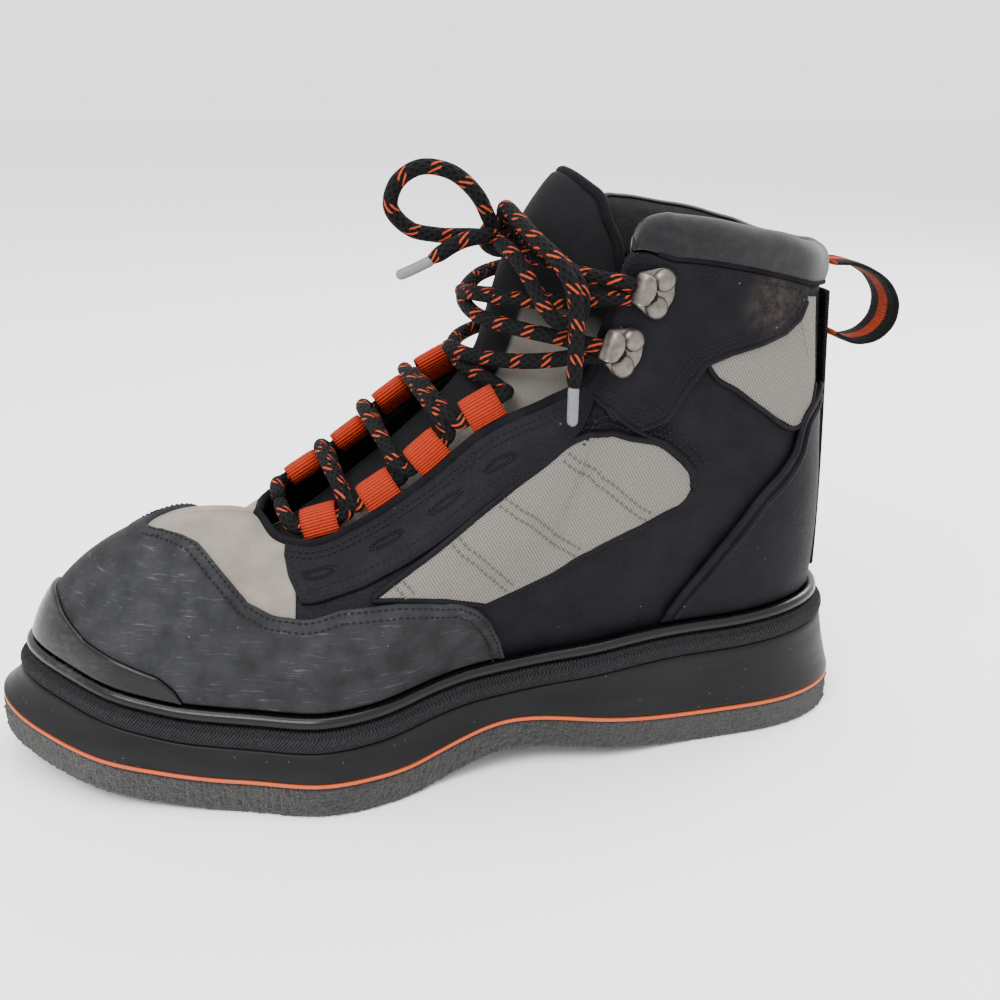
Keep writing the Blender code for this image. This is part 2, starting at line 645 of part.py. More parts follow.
def build_overlays():
    """Toe cap, bumper, counter, ankle wings, eyestays and heel strip, each cut from a lifted upper face."""
    leather = bpy.data.materials["upper_leather"]
    cap = finish_material("cap_leather", (0.043, 0.046, 0.050), 0.7)
    first_lift = GAP
    second_lift = GAP + OVERLAY_THICKNESS + GAP

    def overlay(name, field, lift, thickness, material):
        work = upper_sheet(lift, skirt=False)
        clip_sheet(work, field)
        solidify(name, work, thickness, 1, material)

    overlay("toe_cap", edge_field(TOE_CAP_EDGE), first_lift, OVERLAY_THICKNESS, cap)
    overlay("toe_bumper", edge_field(BUMPER_EDGE), second_lift, BUMPER_THICKNESS,
            bpy.data.materials["gloss_rubber"])
    overlay("heel_counter", edge_field(COUNTER_EDGE), first_lift, OVERLAY_THICKNESS, leather)
    for word, side in (("outer", OUTER), ("inner", INNER)):
        overlay("ankle_wing_" + word, band_field(WING_EDGE, WING_START, WING_END, (side,)),
                first_lift, OVERLAY_THICKNESS, leather)
        overlay("eyestay_" + word, band_field(EYESTAY_EDGE, EYESTAY_START, EYESTAY_END, (side,)),
                first_lift, OVERLAY_THICKNESS, leather)

    def strip_field(share, height, side, place):
        if place.x < 0:
            return -1.0
        return min((STRAP_WIDTH / 2 - abs(place.y)) * 50, height - 0.04, 0.975 - height)

    overlay("heel_strip", strip_field, second_lift, STRAP_THICKNESS,
            finish_material("black_webbing", (0.01, 0.01, 0.01), 0.85))


def build_collar():
    """Padded collar on the upper's top edge, open at the throat."""
    turn = np.linspace(-math.pi, math.pi, 2 * UPPER_STATIONS + 1)
    turn = turn[(1 - np.cos(turn)) / 2 < COLLAR_END]
    share = (1 - np.cos(turn)) / 2
    outer, inner = [np.stack(top_edge(share, side), axis=-1) for side in (OUTER, INNER)]
    rim = np.where(turn[:, None] < 0, outer, inner)
    path = np.gradient(rim[:, :2], axis=0)
    path /= np.linalg.norm(path, axis=1)[:, None]
    outward = np.stack([-path[:, 1], path[:, 0]], axis=-1)
    if outward[len(turn) // 2, 0] < 0:
        outward = -outward
    taper = np.sqrt(np.clip((COLLAR_END - share) / COLLAR_TAPER, 0.03, 1))
    points = []
    for out, rise, lift in COLLAR_PROFILE:
        away = out * COLLAR_PAD * (np.where(out < -0.3, 0.35 + 0.65 * taper, 1))
        if rise < 0:
            away = np.minimum(away, -UPPER_WALL - 4 * GAP)
        up = rise * COLLAR_RISE * (0.15 + 0.85 * taper) + lift * GAP
        points.extend(np.column_stack([rim[:, :2] + outward * away[:, None], rim[:, 2] + up]))
    stations, corners = len(turn), len(COLLAR_PROFILE)
    faces = [[k * stations for k in range(corners)], [(k + 1) * stations - 1 for k in range(corners)]]
    for k in range(corners):
        low, high = k * stations, ((k + 1) % corners) * stations
        faces.extend((low + i, low + i + 1, high + i + 1, high + i) for i in range(stations - 1))
    add_object("collar", mesh_from("collar", points, faces),
               finish_material("collar_fabric", (0.024, 0.024, 0.026), 0.9))


def build_pull_loop():
    """Folded webbing loop behind the collar, its two ends against the heel."""
    steps = [(i / (len(PULL_LOOP) - 1), *row) for i, row in enumerate(PULL_LOOP)]
    at = np.linspace(0, 1, 19)
    x = HEEL_REACH - smooth_column(steps, 1, at) * SOLE_LENGTH
    z = smooth_column(steps, 2, at) * COLLAR_HEIGHT
    d_x, d_z = np.gradient(x), np.gradient(z)
    size = np.hypot(d_x, d_z)
    n_x, n_z = -d_z / size, d_x / size
    points = []
    for i in range(len(at)):
        for across, depth in ((-1, -1), (1, -1), (1, 1), (-1, 1)):
            points.append((x[i] + n_x[i] * depth * STRAP_THICKNESS / 2, across * STRAP_WIDTH / 2,
                           z[i] + n_z[i] * depth * STRAP_THICKNESS / 2))
    faces = ring_faces(len(at), 4, False) + [(0, 1, 2, 3), tuple(4 * (len(at) - 1) + k for k in range(4))]
    add_object("pull_loop", mesh_from("pull_loop", points, faces), bpy.data.materials["black_webbing"])


def surface_frame(share, side, height, lift=0.0):
    """Place and directions on the upper: toward the toe, toward the top edge, and outward."""
    turn = math.acos(1 - 2 * share)
    step = 1e-3
    here = upper_point(np.array(turn), side, height)
    ahead = upper_point(np.array(turn + step), side, height) - upper_point(np.array(turn - step), side, height)
    above_here = here - upper_point(np.array(turn), side, height - step)
    toe = Vector(ahead).normalized()
    top = Vector(above_here).normalized()
    out = toe.cross(top).normalized()
    if out.y * side < 0 and abs(out.y) > 0.3 or out.z < -0.5:
        out = -out
    return Vector(here) + out * lift, toe, top, out


def loop_frame(share, side):
    """Seat of a lace loop just past the throat edge, with its directions: along the edge, past it and outward."""
    place, _, top, out = surface_frame(share, side, 1.0)
    turn = math.acos(1 - 2 * share)
    step = 1e-3
    pace = upper_point(np.array([turn - step, turn + step]), side, 1.0)
    spread = LOOP_WIDTH * step / np.linalg.norm(pace[1] - pace[0])
    edge = [Vector(p) for p in upper_point(turn + np.linspace(-spread, spread, 9) * 1.3, side, 1.0)]
    along = (edge[-1] - edge[0]).normalized()
    top = (top - along * top.dot(along)).normalized()
    square = along.cross(top)
    out = square if square.dot(out) > 0 else -square
    bulge = max((p - place).dot(top) for p in edge)
    return place + top * (bulge + LOOP_SET_OFF), along, top, out


def build_lace_loops():
    """Webbing loops along both throat edges: a rounded flat band folded round the lace."""
    webbing = finish_material("orange_webbing", (0.69, 0.08, 0.033), 0.85)
    for word, side, shares in (("outer", OUTER, OUTER_LOOPS), ("inner", INNER, INNER_LOOPS)):
        for number, share in enumerate(shares, 1):
            place, toe, top, out = loop_frame(share, side)
            ring = []
            for wall in (0, 1):
                for over, rise in LOOP_PROFILE:
                    centre = Vector(LOOP_HOLE) * LOOP_REACH
                    corner = Vector((over, rise)) * LOOP_REACH
                    ring.append(corner + (centre - corner).normalized() * wall * LOOP_WALL)
            count = len(LOOP_PROFILE)
            points = []
            for end in (-0.5, 0.5):
                points.extend(place + toe * end * LOOP_WIDTH + top * c.x + out * c.y for c in ring)
            faces = []
            for k in range(count):
                m = (k + 1) % count
                far = 2 * count
                faces.append((k, m, far + m, far + k))
                faces.append((count + k, far + count + k, far + count + m, count + m))
                faces.append((k, count + k, count + m, m))
                faces.append((far + k, far + m, far + count + m, far + count + k))
            name = "lace_loop_%s_%d" % (word, number)
            add_object(name, mesh_from(name, points, faces), webbing)


def build_hooks():
    """Speed hooks and their rivets on the ankle wings."""
    metal = finish_material("hook_metal", (0.27, 0.24, 0.22), 0.35, 1.0)
    for word, side in (("outer", OUTER), ("inner", INNER)):
        for level, top_spot, low_spot in HOOKS:
            lift = GAP + OVERLAY_THICKNESS + 2 * GAP
            high, _, _, out = surface_frame(top_spot[0], side, top_spot[1], lift)
            low, _, _, out_low = surface_frame(low_spot[0], side, low_spot[1], lift)
            out = (out + out_low).normalized()
            middle = (high + low) / 2
            line = (high - low)
            line = (line - out * line.dot(out)).normalized()
            front = line.cross(out)
            if front.x > 0:
                front = -front
            path = np.array([(a, r) for a, r, _ in HOOK_PATH]) * HOOK_LENGTH
            slope = np.gradient(path, axis=0)
            slope /= np.linalg.norm(slope, axis=1)[:, None]
            body = []
            for i, (ahead, rise, width) in enumerate(HOOK_PATH):
                for depth, across in ((0, -0.5), (0, 0.5), (1, 0.5), (1, -0.5)):
                    a = path[i, 0] - slope[i, 1] * depth * HOOK_GAUGE
                    r = path[i, 1] + slope[i, 0] * depth * HOOK_GAUGE
                    body.append(middle + front * a + out * r + line * across * width * HOOK_HEIGHT)
            faces = ring_faces(len(HOOK_PATH), 4, False)
            faces += [(0, 1, 2, 3), tuple(4 * (len(HOOK_PATH) - 1) + k for k in range(4))]
            name = "speed_hook_%s_%s" % (word, level)
            add_object(name, mesh_from(name, body, faces), metal)
            spacing = line * RIVET_SPACING / 2
            for end, spot in (("top", middle + spacing), ("low", middle - spacing)):
                add_rivet("rivet_%s_%s_%s" % (word, level, end), spot + out * (HOOK_GAUGE + GAP), out, metal)


def add_rivet(name, place, out, material):
    """Domed rivet cap: a turned profile standing along out."""
    mesh = bpy.data.meshes.new(name)
    outline = [(0, 1), (0.6, 0.84), (1.0, 0.25), (1.0, 0), (0, 0)]
    points = [(r * RIVET_RADIUS, 0, z * RIVET_DOME) for r, z in outline]
    mesh.from_pydata(points, [(i, i + 1) for i in range(len(points) - 1)], [])
    body = add_object(name, mesh, material)
    turn = body.modifiers.new("turn", "SCREW")
    turn.steps = turn.render_steps = 8
    turn.use_merge_vertices = True
    turn.merge_threshold = 1e-5
    body.matrix_world = Matrix.Translation(place) @ out.to_track_quat("Z", "Y").to_matrix().to_4x4()


def smooth_route(route, spacing):
    """Points of a smooth curve through a route, about spacing apart."""
    route = np.array(route, dtype=float)
    length = np.concatenate([[0], np.cumsum(np.linalg.norm(np.diff(route, axis=0), axis=1))])
    rows = np.column_stack([length, route])
    count = max(3, int(round(length[-1] / spacing)) + 1)
    at = np.linspace(0, length[-1], count)
    return np.stack([smooth_column(rows, i, at) for i in (1, 2, 3)], axis=-1)


def cord_mesh(name, route, radius, spacing):
    """Closed tube mesh along a smooth route, from a bevelled curve."""
    data = bpy.data.curves.new(name, "CURVE")
    data.dimensions = "3D"
    data.bevel_depth = radius
    data.bevel_resolution = 2
    data.use_fill_caps = True
    line = smooth_route(route, spacing)
    spline = data.splines.new("POLY")
    spline.points.add(len(line) - 1)
    for point, place in zip(spline.points, line):
        point.co = (*place, 1)
    holder = bpy.data.objects.new(name, data)
    bpy.data.collections["cutters"].objects.link(holder)
    mesh = bpy.data.meshes.new_from_object(holder.evaluated_get(bpy.context.evaluated_depsgraph_get()))
    bpy.data.objects.remove(holder)
    work = bmesh.new()
    work.from_mesh(mesh)
    bmesh.ops.remove_doubles(work, verts=work.verts, dist=1e-5)
    bmesh.ops.recalc_face_normals(work, faces=work.faces)
    work.to_mesh(mesh)
    work.free()
    return mesh


def at_last(route):
    """Route in millimetres from the heel, across and up, brought to this boot's size, as world places in metres."""
    length, width, height = SOLE_LENGTH / LACE_CHOSEN_ON[0], BALL_WIDTH / LACE_CHOSEN_ON[1], COLLAR_HEIGHT / LACE_CHOSEN_ON[2]
    return [(HEEL_REACH - (LACE_START + u) * length, y * width, z * height) for u, y, z in route]


def build_lace():
    """Lace: bars and crossings between loops and hooks, then knot, bow and ends."""
    cord = finish_material("lace_cord", (0.012, 0.012, 0.012), 0.9)
    tip = finish_material("lace_tip", (0.20, 0.22, 0.23), 0.5)
    radius = LACE_DIAMETER / 2

    def loop_end(side, number, direction):
        share = (OUTER_LOOPS if side == OUTER else INNER_LOOPS)[number]
        place, toe, top, out = loop_frame(share, side)
        hole = place + top * (LOOP_REACH * LOOP_HOLE[0]) + out * (LOOP_REACH * LOOP_HOLE[1])
        along = toe * direction
        return hole + along * (LOOP_WIDTH / 2 + LACE_SET_OFF), along, (top * 0.4 + out).normalized()

    def strand(start, finish, hump):
        (p0, d0, up0), (p3, d3, up3) = start, finish
        p1, p2 = p0 + d0 * LACE_LEAD + up0 * hump, p3 + d3 * LACE_LEAD + up3 * hump
        return [tuple((1 - t) ** 3 * p0 + 3 * t * (1 - t) ** 2 * p1 + 3 * t * t * (1 - t) * p2 + t ** 3 * p3)
                for t in np.linspace(0, 1, 9)]

    bar = strand(loop_end(OUTER, 0, 1), loop_end(INNER, 0, 1), BAR_HUMP)
    add_object("lace_bar", cord_mesh("lace_bar", bar, radius, CORD_STEP), cord)
    for number in range(len(OUTER_LOOPS) - 1):
        over = strand(loop_end(OUTER, number, -1), loop_end(INNER, number + 1, 1), CROSS_HUMP + radius)
        under = strand(loop_end(INNER, number, -1), loop_end(OUTER, number + 1, 1), CROSS_HUMP)
        join_cords("lace_cross_%d" % (number + 1), over, under, radius, cord)
    join_cords("lace_cross_4", at_last(LACE_TO_LOWER_OUTER), at_last(LACE_TO_LOWER_INNER), radius, cord)
    join_cords("lace_cross_5", at_last(LACE_TO_UPPER_OUTER), at_last(LACE_TO_UPPER_INNER), radius, cord)
    for name, route in (("lace_strand_outer", STRAND_OUTER), ("lace_strand_inner", STRAND_INNER),
                        ("bow_loop_left", BOW_LEFT), ("bow_loop_right", BOW_RIGHT),
                        ("lace_end_left", END_LEFT), ("lace_end_right", END_RIGHT),
                        ("lace_knot", KNOT)):
        size = KNOT_RADIUS if name == "lace_knot" else radius
        add_object(name, cord_mesh(name, at_last(route), size, CORD_STEP), cord)
    for name, route in (("aglet_left", AGLET_LEFT), ("aglet_right", AGLET_RIGHT)):
        add_object(name, cord_mesh(name, at_last(route), AGLET_DIAMETER / 2, CORD_STEP), tip)


def join_cords(name, first, second, radius, material):
    """Two crossing cords made one solid by a union."""
    body = add_object(name, cord_mesh(name, first, radius, CORD_STEP), material)
    other = add_object(name + "_second", cord_mesh(name + "_second", second, radius, CORD_STEP), None, "cutters")
    other.hide_render = True
    other.display_type = "WIRE"
    join = body.modifiers.new("join", "BOOLEAN")
    join.operation = "UNION"
    join.solver = "EXACT"
    join.object = other


def tongue_point(v, w, depth):
    """Point of the tongue. v runs from foot to top, w across from -1 to 1, depth from the front face inward."""
    steps = [(i / (len(TONGUE) - 1), *row) for i, row in enumerate(TONGUE)]
    along, up, reach_out, drop_out, reach_in, drop_in, pad = [smooth_column(steps, i, v) for i in range(1, 8)]
    nudge = 1e-3
    d_x = -(smooth_column(steps, 1, v + nudge) - smooth_column(steps, 1, v - nudge)) * SOLE_LENGTH
    d_z = (smooth_column(steps, 2, v + nudge) - smooth_column(steps, 2, v - nudge)) * COLLAR_HEIGHT
    size = np.hypot(d_x, d_z)
    front_x, front_z = -d_z / size, d_x / size
    reach = np.where(w < 0, reach_out, reach_in)
    drop = np.where(w < 0, drop_out, drop_in)
    back = drop * BALL_WIDTH * np.abs(w) ** 2.2 + depth * TONGUE_PADDING * pad
    x = HEEL_REACH - along * SOLE_LENGTH - front_x * back
    return np.stack([x, (TONGUE_CENTRE + w * reach) * BALL_WIDTH, up * COLLAR_HEIGHT - front_z * back], axis=-1)


def build_tongue():
    """Tongue: a padded strip, bowed across, closed round its edges."""
    rows, columns = TONGUE_ROWS, TONGUE_COLUMNS
    across = np.linspace(-1, 1, columns)
    points = []
    for depth in (0, 1):
        for v in np.linspace(0, 1, rows):
            points.extend(tongue_point(np.full(columns, v), across, np.full(columns, float(depth))))
    layer = rows * columns
    faces = []
    for i in range(rows - 1):
        for j in range(columns - 1):
            a = i * columns + j
            b = a + columns
            faces.append((a, a + 1, b + 1, b))
            faces.append((layer + a, layer + b, layer + b + 1, layer + a + 1))
    border = (list(range(columns)) + [i * columns + columns - 1 for i in range(1, rows)]
              + [layer - 1 - j for j in range(1, columns)] + [i * columns for i in range(rows - 2, 0, -1)])
    for k, a in enumerate(border):
        b = border[(k + 1) % len(border)]
        faces.append((a, b, layer + b, layer + a))
    add_object("tongue", mesh_from("tongue", points, faces),
               finish_material("tongue_leather", (0.03, 0.03, 0.033), 0.8))


def main():
    for old in list(bpy.data.objects):
        bpy.data.objects.remove(old)
    for name in ("wading_boot", "cutters"):
        bpy.context.scene.collection.children.link(bpy.data.collections.new(name))
    build_sole()
    build_upper()
    build_overlays()
    build_collar()
    build_tongue()
    build_pull_loop()
    build_lace_loops()
    build_hooks()
    build_lace()


main()
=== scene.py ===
"""Looks of the wading boot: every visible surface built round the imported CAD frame.

Lengths are in metres, in the frame's own axes: toe toward -X, outer side toward -Y, +Z up from the floor.
"""
import math

import bmesh
import bpy
import numpy as np
from mathutils import Matrix, Vector


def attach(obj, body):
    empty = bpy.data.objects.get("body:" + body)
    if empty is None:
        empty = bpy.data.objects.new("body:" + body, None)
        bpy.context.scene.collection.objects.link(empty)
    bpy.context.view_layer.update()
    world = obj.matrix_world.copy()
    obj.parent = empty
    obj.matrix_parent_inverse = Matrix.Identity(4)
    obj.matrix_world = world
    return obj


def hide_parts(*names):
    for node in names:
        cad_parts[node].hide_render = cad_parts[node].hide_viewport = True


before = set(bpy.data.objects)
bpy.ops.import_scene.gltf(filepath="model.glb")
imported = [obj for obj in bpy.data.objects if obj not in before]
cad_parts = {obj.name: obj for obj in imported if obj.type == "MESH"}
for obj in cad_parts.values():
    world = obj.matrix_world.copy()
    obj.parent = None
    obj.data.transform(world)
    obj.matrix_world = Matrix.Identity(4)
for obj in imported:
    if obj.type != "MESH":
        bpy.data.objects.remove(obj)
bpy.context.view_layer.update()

bl_info = {
    "name": "Wading boot looks",
    "version": (1, 0, 0),
    "blender": (4, 5, 0),
    "location": "3D View > Sidebar > Boot",
    "description": "Builds the sewn, woven, rubber and metal surfaces of a felt-soled wading boot",
    "category": "Object",
}

OUTER, INNER = -1, 1

# Sole, as on the CAD part
SOLE_LENGTH, BALL_WIDTH, HEEL_REACH, HEEL_HEIGHT = 0.324, 0.120, 0.049, 0.0376
FELT_THICKNESS, LINE_THICKNESS, ARCH_LIFT, TOE_SPRING = 0.0110, 0.0020, 0.0074, 0.0125
HEEL_FLAT_END, FOREFOOT_FLAT_START, FOREFOOT_FLAT_END = 0.20, 0.575, 0.755
HEEL_DRAFT, SIDE_DRAFT, TOE_DRAFT = 0.0055, 0.0035, 0.0075
STRIP_HEIGHT, STRIP_WIDTH, LEDGE_WIDTH, LEDGE_RISE = 0.0046, 0.0115, 0.0020, 0.0016
PIPING_RADIUS, PIPING_INSET, SKIRT_HEIGHT = 0.0025, 0.0047, 0.0053
COLLAR_HEIGHT, UPPER_WALL, GAP = 0.182, 0.0022, 0.0003
OUTLINE = [
    (0.025, 0.000, 0.192), (0.100, 0.004, 0.325), (0.210, 0.004, 0.362), (0.340, -0.037, 0.371),
    (0.440, -0.042, 0.350), (0.530, -0.054, 0.388), (0.600, -0.062, 0.460), (0.660, -0.050, 0.497),
    (0.750, 0.015, 0.484), (0.830, 0.046, 0.445), (0.900, 0.052, 0.372), (0.955, 0.066, 0.252),
    (0.985, 0.072, 0.148),
]
WALL_TOP = [
    (0.00, 1.03), (0.10, 1.00), (0.17, 0.95), (0.31, 0.92), (0.38, 0.84), (0.44, 0.77), (0.50, 0.73),
    (0.57, 0.645), (0.65, 0.605), (0.76, 0.605), (0.81, 0.635), (0.86, 0.72), (0.92, 0.83), (1.00, 0.94),
]

# Sections of the upper: share of the sole at the foot, then the top edge's place, then leans and reaches
OUTER_SECTIONS = [
    (0.00, 0.053, 0.000, 0.923, 1, 0.33, 2, 0.33),
    (0.02, 0.068, 0.105, 0.928, -4, 0.33, 3, 0.33),
    (0.06, 0.097, 0.200, 0.938, -9, 0.33, 4, 0.33),
    (0.13, 0.139, 0.258, 0.958, -12, 0.33, 4, 0.33),
    (0.22, 0.204, 0.296, 0.985, -14, 0.33, 2, 0.33),
    (0.31, 0.272, 0.304, 1.002, -14, 0.33, 0, 0.33),
    (0.38, 0.330, 0.292, 1.000, -13, 0.33, 5, 0.33),
    (0.42, 0.343, 0.288, 0.879, -13, 0.34, 12, 0.33),
    (0.46, 0.362, 0.283, 0.780, -13, 0.35, 25, 0.33),
    (0.50, 0.404, 0.275, 0.736, -12, 0.35, 38, 0.33),
    (0.55, 0.472, 0.262, 0.681, -9, 0.35, 44, 0.32),
    (0.60, 0.534, 0.250, 0.588, -5, 0.36, 50, 0.32),
    (0.65, 0.602, 0.233, 0.505, 0, 0.38, 55, 0.33),
    (0.69, 0.657, 0.208, 0.462, 3, 0.38, 62, 0.35),
    (0.72, 0.691, 0.133, 0.462, 5, 0.38, 74, 0.38),
    (0.75, 0.710, -0.017, 0.478, 6, 0.37, 90, 0.40),
    (0.79, 0.741, -0.025, 0.486, 6, 0.36, 90, 0.42),
    (0.83, 0.775, -0.042, 0.484, 6, 0.35, 90, 0.42),
    (0.87, 0.802, -0.050, 0.473, 7, 0.34, 90, 0.42),
    (0.93, 0.802, -0.050, 0.473, 9, 0.32, 90, 0.42),
    (1.00, 0.802, -0.050, 0.473, 14, 0.30, 90, 0.42),
]
INNER_SECTIONS = [
    (0.00, 0.053, 0.000, 0.923, 1, 0.33, 2, 0.33),
    (0.02, 0.068, 0.105, 0.928, -4, 0.33, 3, 0.33),
    (0.06, 0.097, 0.200, 0.938, -9, 0.33, 4, 0.33),
    (0.13, 0.139, 0.258, 0.958, -12, 0.33, 4, 0.33),
    (0.22, 0.204, 0.290, 0.985, -14, 0.33, 2, 0.33),
    (0.31, 0.272, 0.290, 1.002, -18, 0.33, 2, 0.33),
    (0.38, 0.330, 0.275, 1.000, -22, 0.33, 6, 0.33),
    (0.42, 0.343, 0.258, 0.890, -24, 0.34, 14, 0.33),
    (0.46, 0.366, 0.242, 0.802, -25, 0.35, 28, 0.33),
    (0.50, 0.410, 0.208, 0.764, -24, 0.35, 40, 0.33),
    (0.55, 0.472, 0.183, 0.733, -20, 0.35, 48, 0.33),
    (0.60, 0.534, 0.175, 0.670, -15, 0.36, 56, 0.33),
    (0.65, 0.596, 0.167, 0.588, -10, 0.37, 62, 0.34),
    (0.69, 0.657, 0.158, 0.522, -5, 0.37, 68, 0.35),
    (0.72, 0.697, 0.117, 0.486, 0, 0.37, 78, 0.38),
    (0.75, 0.710, 0.017, 0.478, 2, 0.37, 90, 0.40),
    (0.79, 0.741, 0.025, 0.486, 3, 0.36, 90, 0.42),
    (0.83, 0.775, 0.042, 0.484, 4, 0.35, 90, 0.42),
    (0.87, 0.802, 0.050, 0.473, 6, 0.34, 90, 0.42),
    (0.93, 0.802, 0.050, 0.473, 9, 0.32, 90, 0.42),
    (1.00, 0.802, 0.050, 0.473, 14, 0.30, 90, 0.42),
]
THROAT_START, CREST_END, RIDGE_SLOPE = 0.75, 0.87, 0.22

# Tongue, collar, webbing, hooks and lace, as on the CAD part
TONGUE_PADDING, TONGUE_CENTRE = 0.009, 0.017
TONGUE = [
    (0.742, 0.425, 0.17, 0.025, 0.13, 0.025, 0.35), (0.700, 0.434, 0.21, 0.060, 0.15, 0.030, 0.38),
    (0.650, 0.484, 0.25, 0.110, 0.17, 0.045, 0.40), (0.595, 0.555, 0.27, 0.135, 0.20, 0.055, 0.40),
    (0.535, 0.650, 0.270, 0.150, 0.185, 0.085, 0.40), (0.490, 0.728, 0.260, 0.200, 0.165, 0.110, 0.45),
    (0.462, 0.800, 0.250, 0.240, 0.165, 0.140, 0.60), (0.448, 0.880, 0.240, 0.270, 0.175, 0.180, 0.80),
    (0.434, 0.965, 0.235, 0.270, 0.195, 0.220, 1.00), (0.412, 1.050, 0.24, 0.250, 0.225, 0.230, 1.00),
    (0.388, 1.115, 0.22, 0.180, 0.205, 0.170, 0.90), (0.368, 1.155, 0.17, 0.090, 0.160, 0.085, 0.60),
]
COLLAR_PAD, COLLAR_RISE, COLLAR_END, COLLAR_TAPER = 0.0095, 0.0145, 0.365, 0.045
COLLAR_PROFILE = [
    (0.08, 0.00), (0.25, 0.34), (0.16, 0.76), (-0.20, 1.00), (-0.66, 0.96), (-0.98, 0.60),
    (-1.00, 0.00), (-0.84, -0.50), (-0.46, -0.50), (-0.36, 0.00),
]
STRAP_WIDTH, STRAP_THICKNESS = 0.020, 0.0018
PULL_LOOP = [
    (0.0435, 0.965), (0.0173, 0.962), (-0.0046, 0.948), (-0.0262, 0.923), (-0.0401, 0.882),
    (-0.0380, 0.838), (-0.0216, 0.807), (0.0015, 0.797), (0.0201, 0.8055), (0.0358, 0.8203),
]
LOOPS = {OUTER: (0.681, 0.630, 0.588, 0.544), INNER: (0.684, 0.6455, 0.603, 0.563)}
LOOP_WIDTH, LOOP_REACH, LOOP_WALL, LOOP_SET_OFF = 0.0130, 0.0125, 0.0011, 0.0009
LOOP_PROFILE = [
    (0.0, -0.05), (0.28, -0.10), (0.62, -0.07), (0.90, 0.05), (1.0, 0.25), (0.92, 0.46), (0.64, 0.57),
    (0.28, 0.44), (0.0, 0.09),
]
LOOP_HOLE = (0.55, 0.24)
HOOKS = [("upper", (0.330, 0.94), (0.336, 0.88)), ("lower", (0.361, 0.79), (0.371, 0.74))]
HOOK_LENGTH, HOOK_HEIGHT, HOOK_GAUGE = 0.0150, 0.0175, 0.0012
HOOK_PATH = [
    (-0.33, 0.00, 0.90), (0.05, 0.00, 1.00), (0.34, 0.00, 0.80), (0.55, 0.05, 0.66), (0.70, 0.20, 0.60),
    (0.72, 0.38, 0.60), (0.60, 0.54, 0.60), (0.42, 0.58, 0.55), (0.26, 0.52, 0.45),
]
RIVET_RADIUS, RIVET_DOME, RIVET_SPACING, RIVET_SIDES = 0.0040, 0.0021, 0.0094, 28
RIVET_PROFILE = [
    (1.0, -0.2), (1.0, 0.16), (0.97, 0.28), (0.86, 0.52), (0.68, 0.78), (0.46, 0.94), (0.22, 1.0),
    (0.02, 1.0),
]
OVERLAY = 0.0013
LACE_RADIUS, AGLET_RADIUS = 0.0027, 0.0017
LACE_LEAD, BAR_HUMP, CROSS_HUMP, LACE_SET_OFF = 0.0025, 0.0034, 0.0060, 0.0036

# Free stretches of the lace, in metres
TO_LOWER_OUTER = [
    (-0.1010, 0.017, 0.1400), (-0.1060, 0.012, 0.1435), (-0.1100, 0.002, 0.1470), (-0.1055, -0.012, 0.1470),
    (-0.0930, -0.024, 0.1470), (-0.0810, -0.033, 0.1490), (-0.0740, -0.038, 0.1510),
]
TO_LOWER_INNER = [
    (-0.0955, -0.025, 0.1365), (-0.1005, -0.019, 0.1395), (-0.1060, -0.008, 0.1415),
    (-0.1075, 0.004, 0.1440), (-0.1040, 0.018, 0.1465), (-0.0910, 0.030, 0.1490), (-0.0760, 0.038, 0.1510),
]
TO_UPPER_OUTER = [
    (-0.0700, 0.0425, 0.1565), (-0.0800, 0.036, 0.1590), (-0.0930, 0.024, 0.1620), (-0.1040, 0.008, 0.1660),
    (-0.1030, -0.008, 0.1680), (-0.0910, -0.022, 0.1680), (-0.0770, -0.033, 0.1690),
    (-0.0640, -0.040, 0.1710),
]
TO_UPPER_INNER = [
    (-0.0680, -0.042, 0.1550), (-0.0790, -0.036, 0.1570), (-0.0930, -0.025, 0.1590),
    (-0.1030, -0.010, 0.1610), (-0.1040, 0.006, 0.1645), (-0.0960, 0.020, 0.1690), (-0.0810, 0.033, 0.1710),
    (-0.0640, 0.039, 0.1730),
]
STRAND_OUTER = [
    (-0.0590, -0.042, 0.1761), (-0.0670, -0.037, 0.1772), (-0.0750, -0.030, 0.1787),
    (-0.0830, -0.022, 0.1815), (-0.0906, -0.0143, 0.1840), (-0.0940, -0.0090, 0.1865),
]
STRAND_INNER = [
    (-0.0600, 0.042, 0.1800), (-0.0690, 0.038, 0.1810), (-0.0790, 0.029, 0.1825), (-0.0880, 0.018, 0.1845),
    (-0.0980, 0.0004, 0.1856), (-0.0975, -0.0050, 0.1868),
]
KNOT_CENTRE = (-0.0945, -0.0070, 0.1876)
BOW_LEFT = [
    (-0.0950, -0.0080, 0.1885), (-0.0976, -0.0089, 0.1924), (-0.1030, -0.0100, 0.2020),
    (-0.1130, -0.0100, 0.2100), (-0.1230, -0.0090, 0.2110), (-0.1300, -0.0070, 0.2060),
    (-0.1320, -0.0050, 0.1980), (-0.1250, -0.0040, 0.1900), (-0.1160, -0.0050, 0.1880),
    (-0.1034, -0.0060, 0.1876), (-0.0975, -0.0060, 0.1872),
]
BOW_RIGHT = [
    (-0.0915, -0.0090, 0.1900), (-0.0894, -0.0126, 0.1898), (-0.0860, -0.0280, 0.1870),
    (-0.0800, -0.0355, 0.1825), (-0.0757, -0.0400, 0.1770), (-0.0743, -0.0422, 0.1715),
    (-0.0753, -0.0437, 0.1666), (-0.0788, -0.0441, 0.1638), (-0.0832, -0.0430, 0.1645),
    (-0.0866, -0.0402, 0.1688), (-0.0900, -0.0345, 0.1765), (-0.0935, -0.0262, 0.1835),
    (-0.0955, -0.0159, 0.1860), (-0.0950, -0.0105, 0.1868),
]
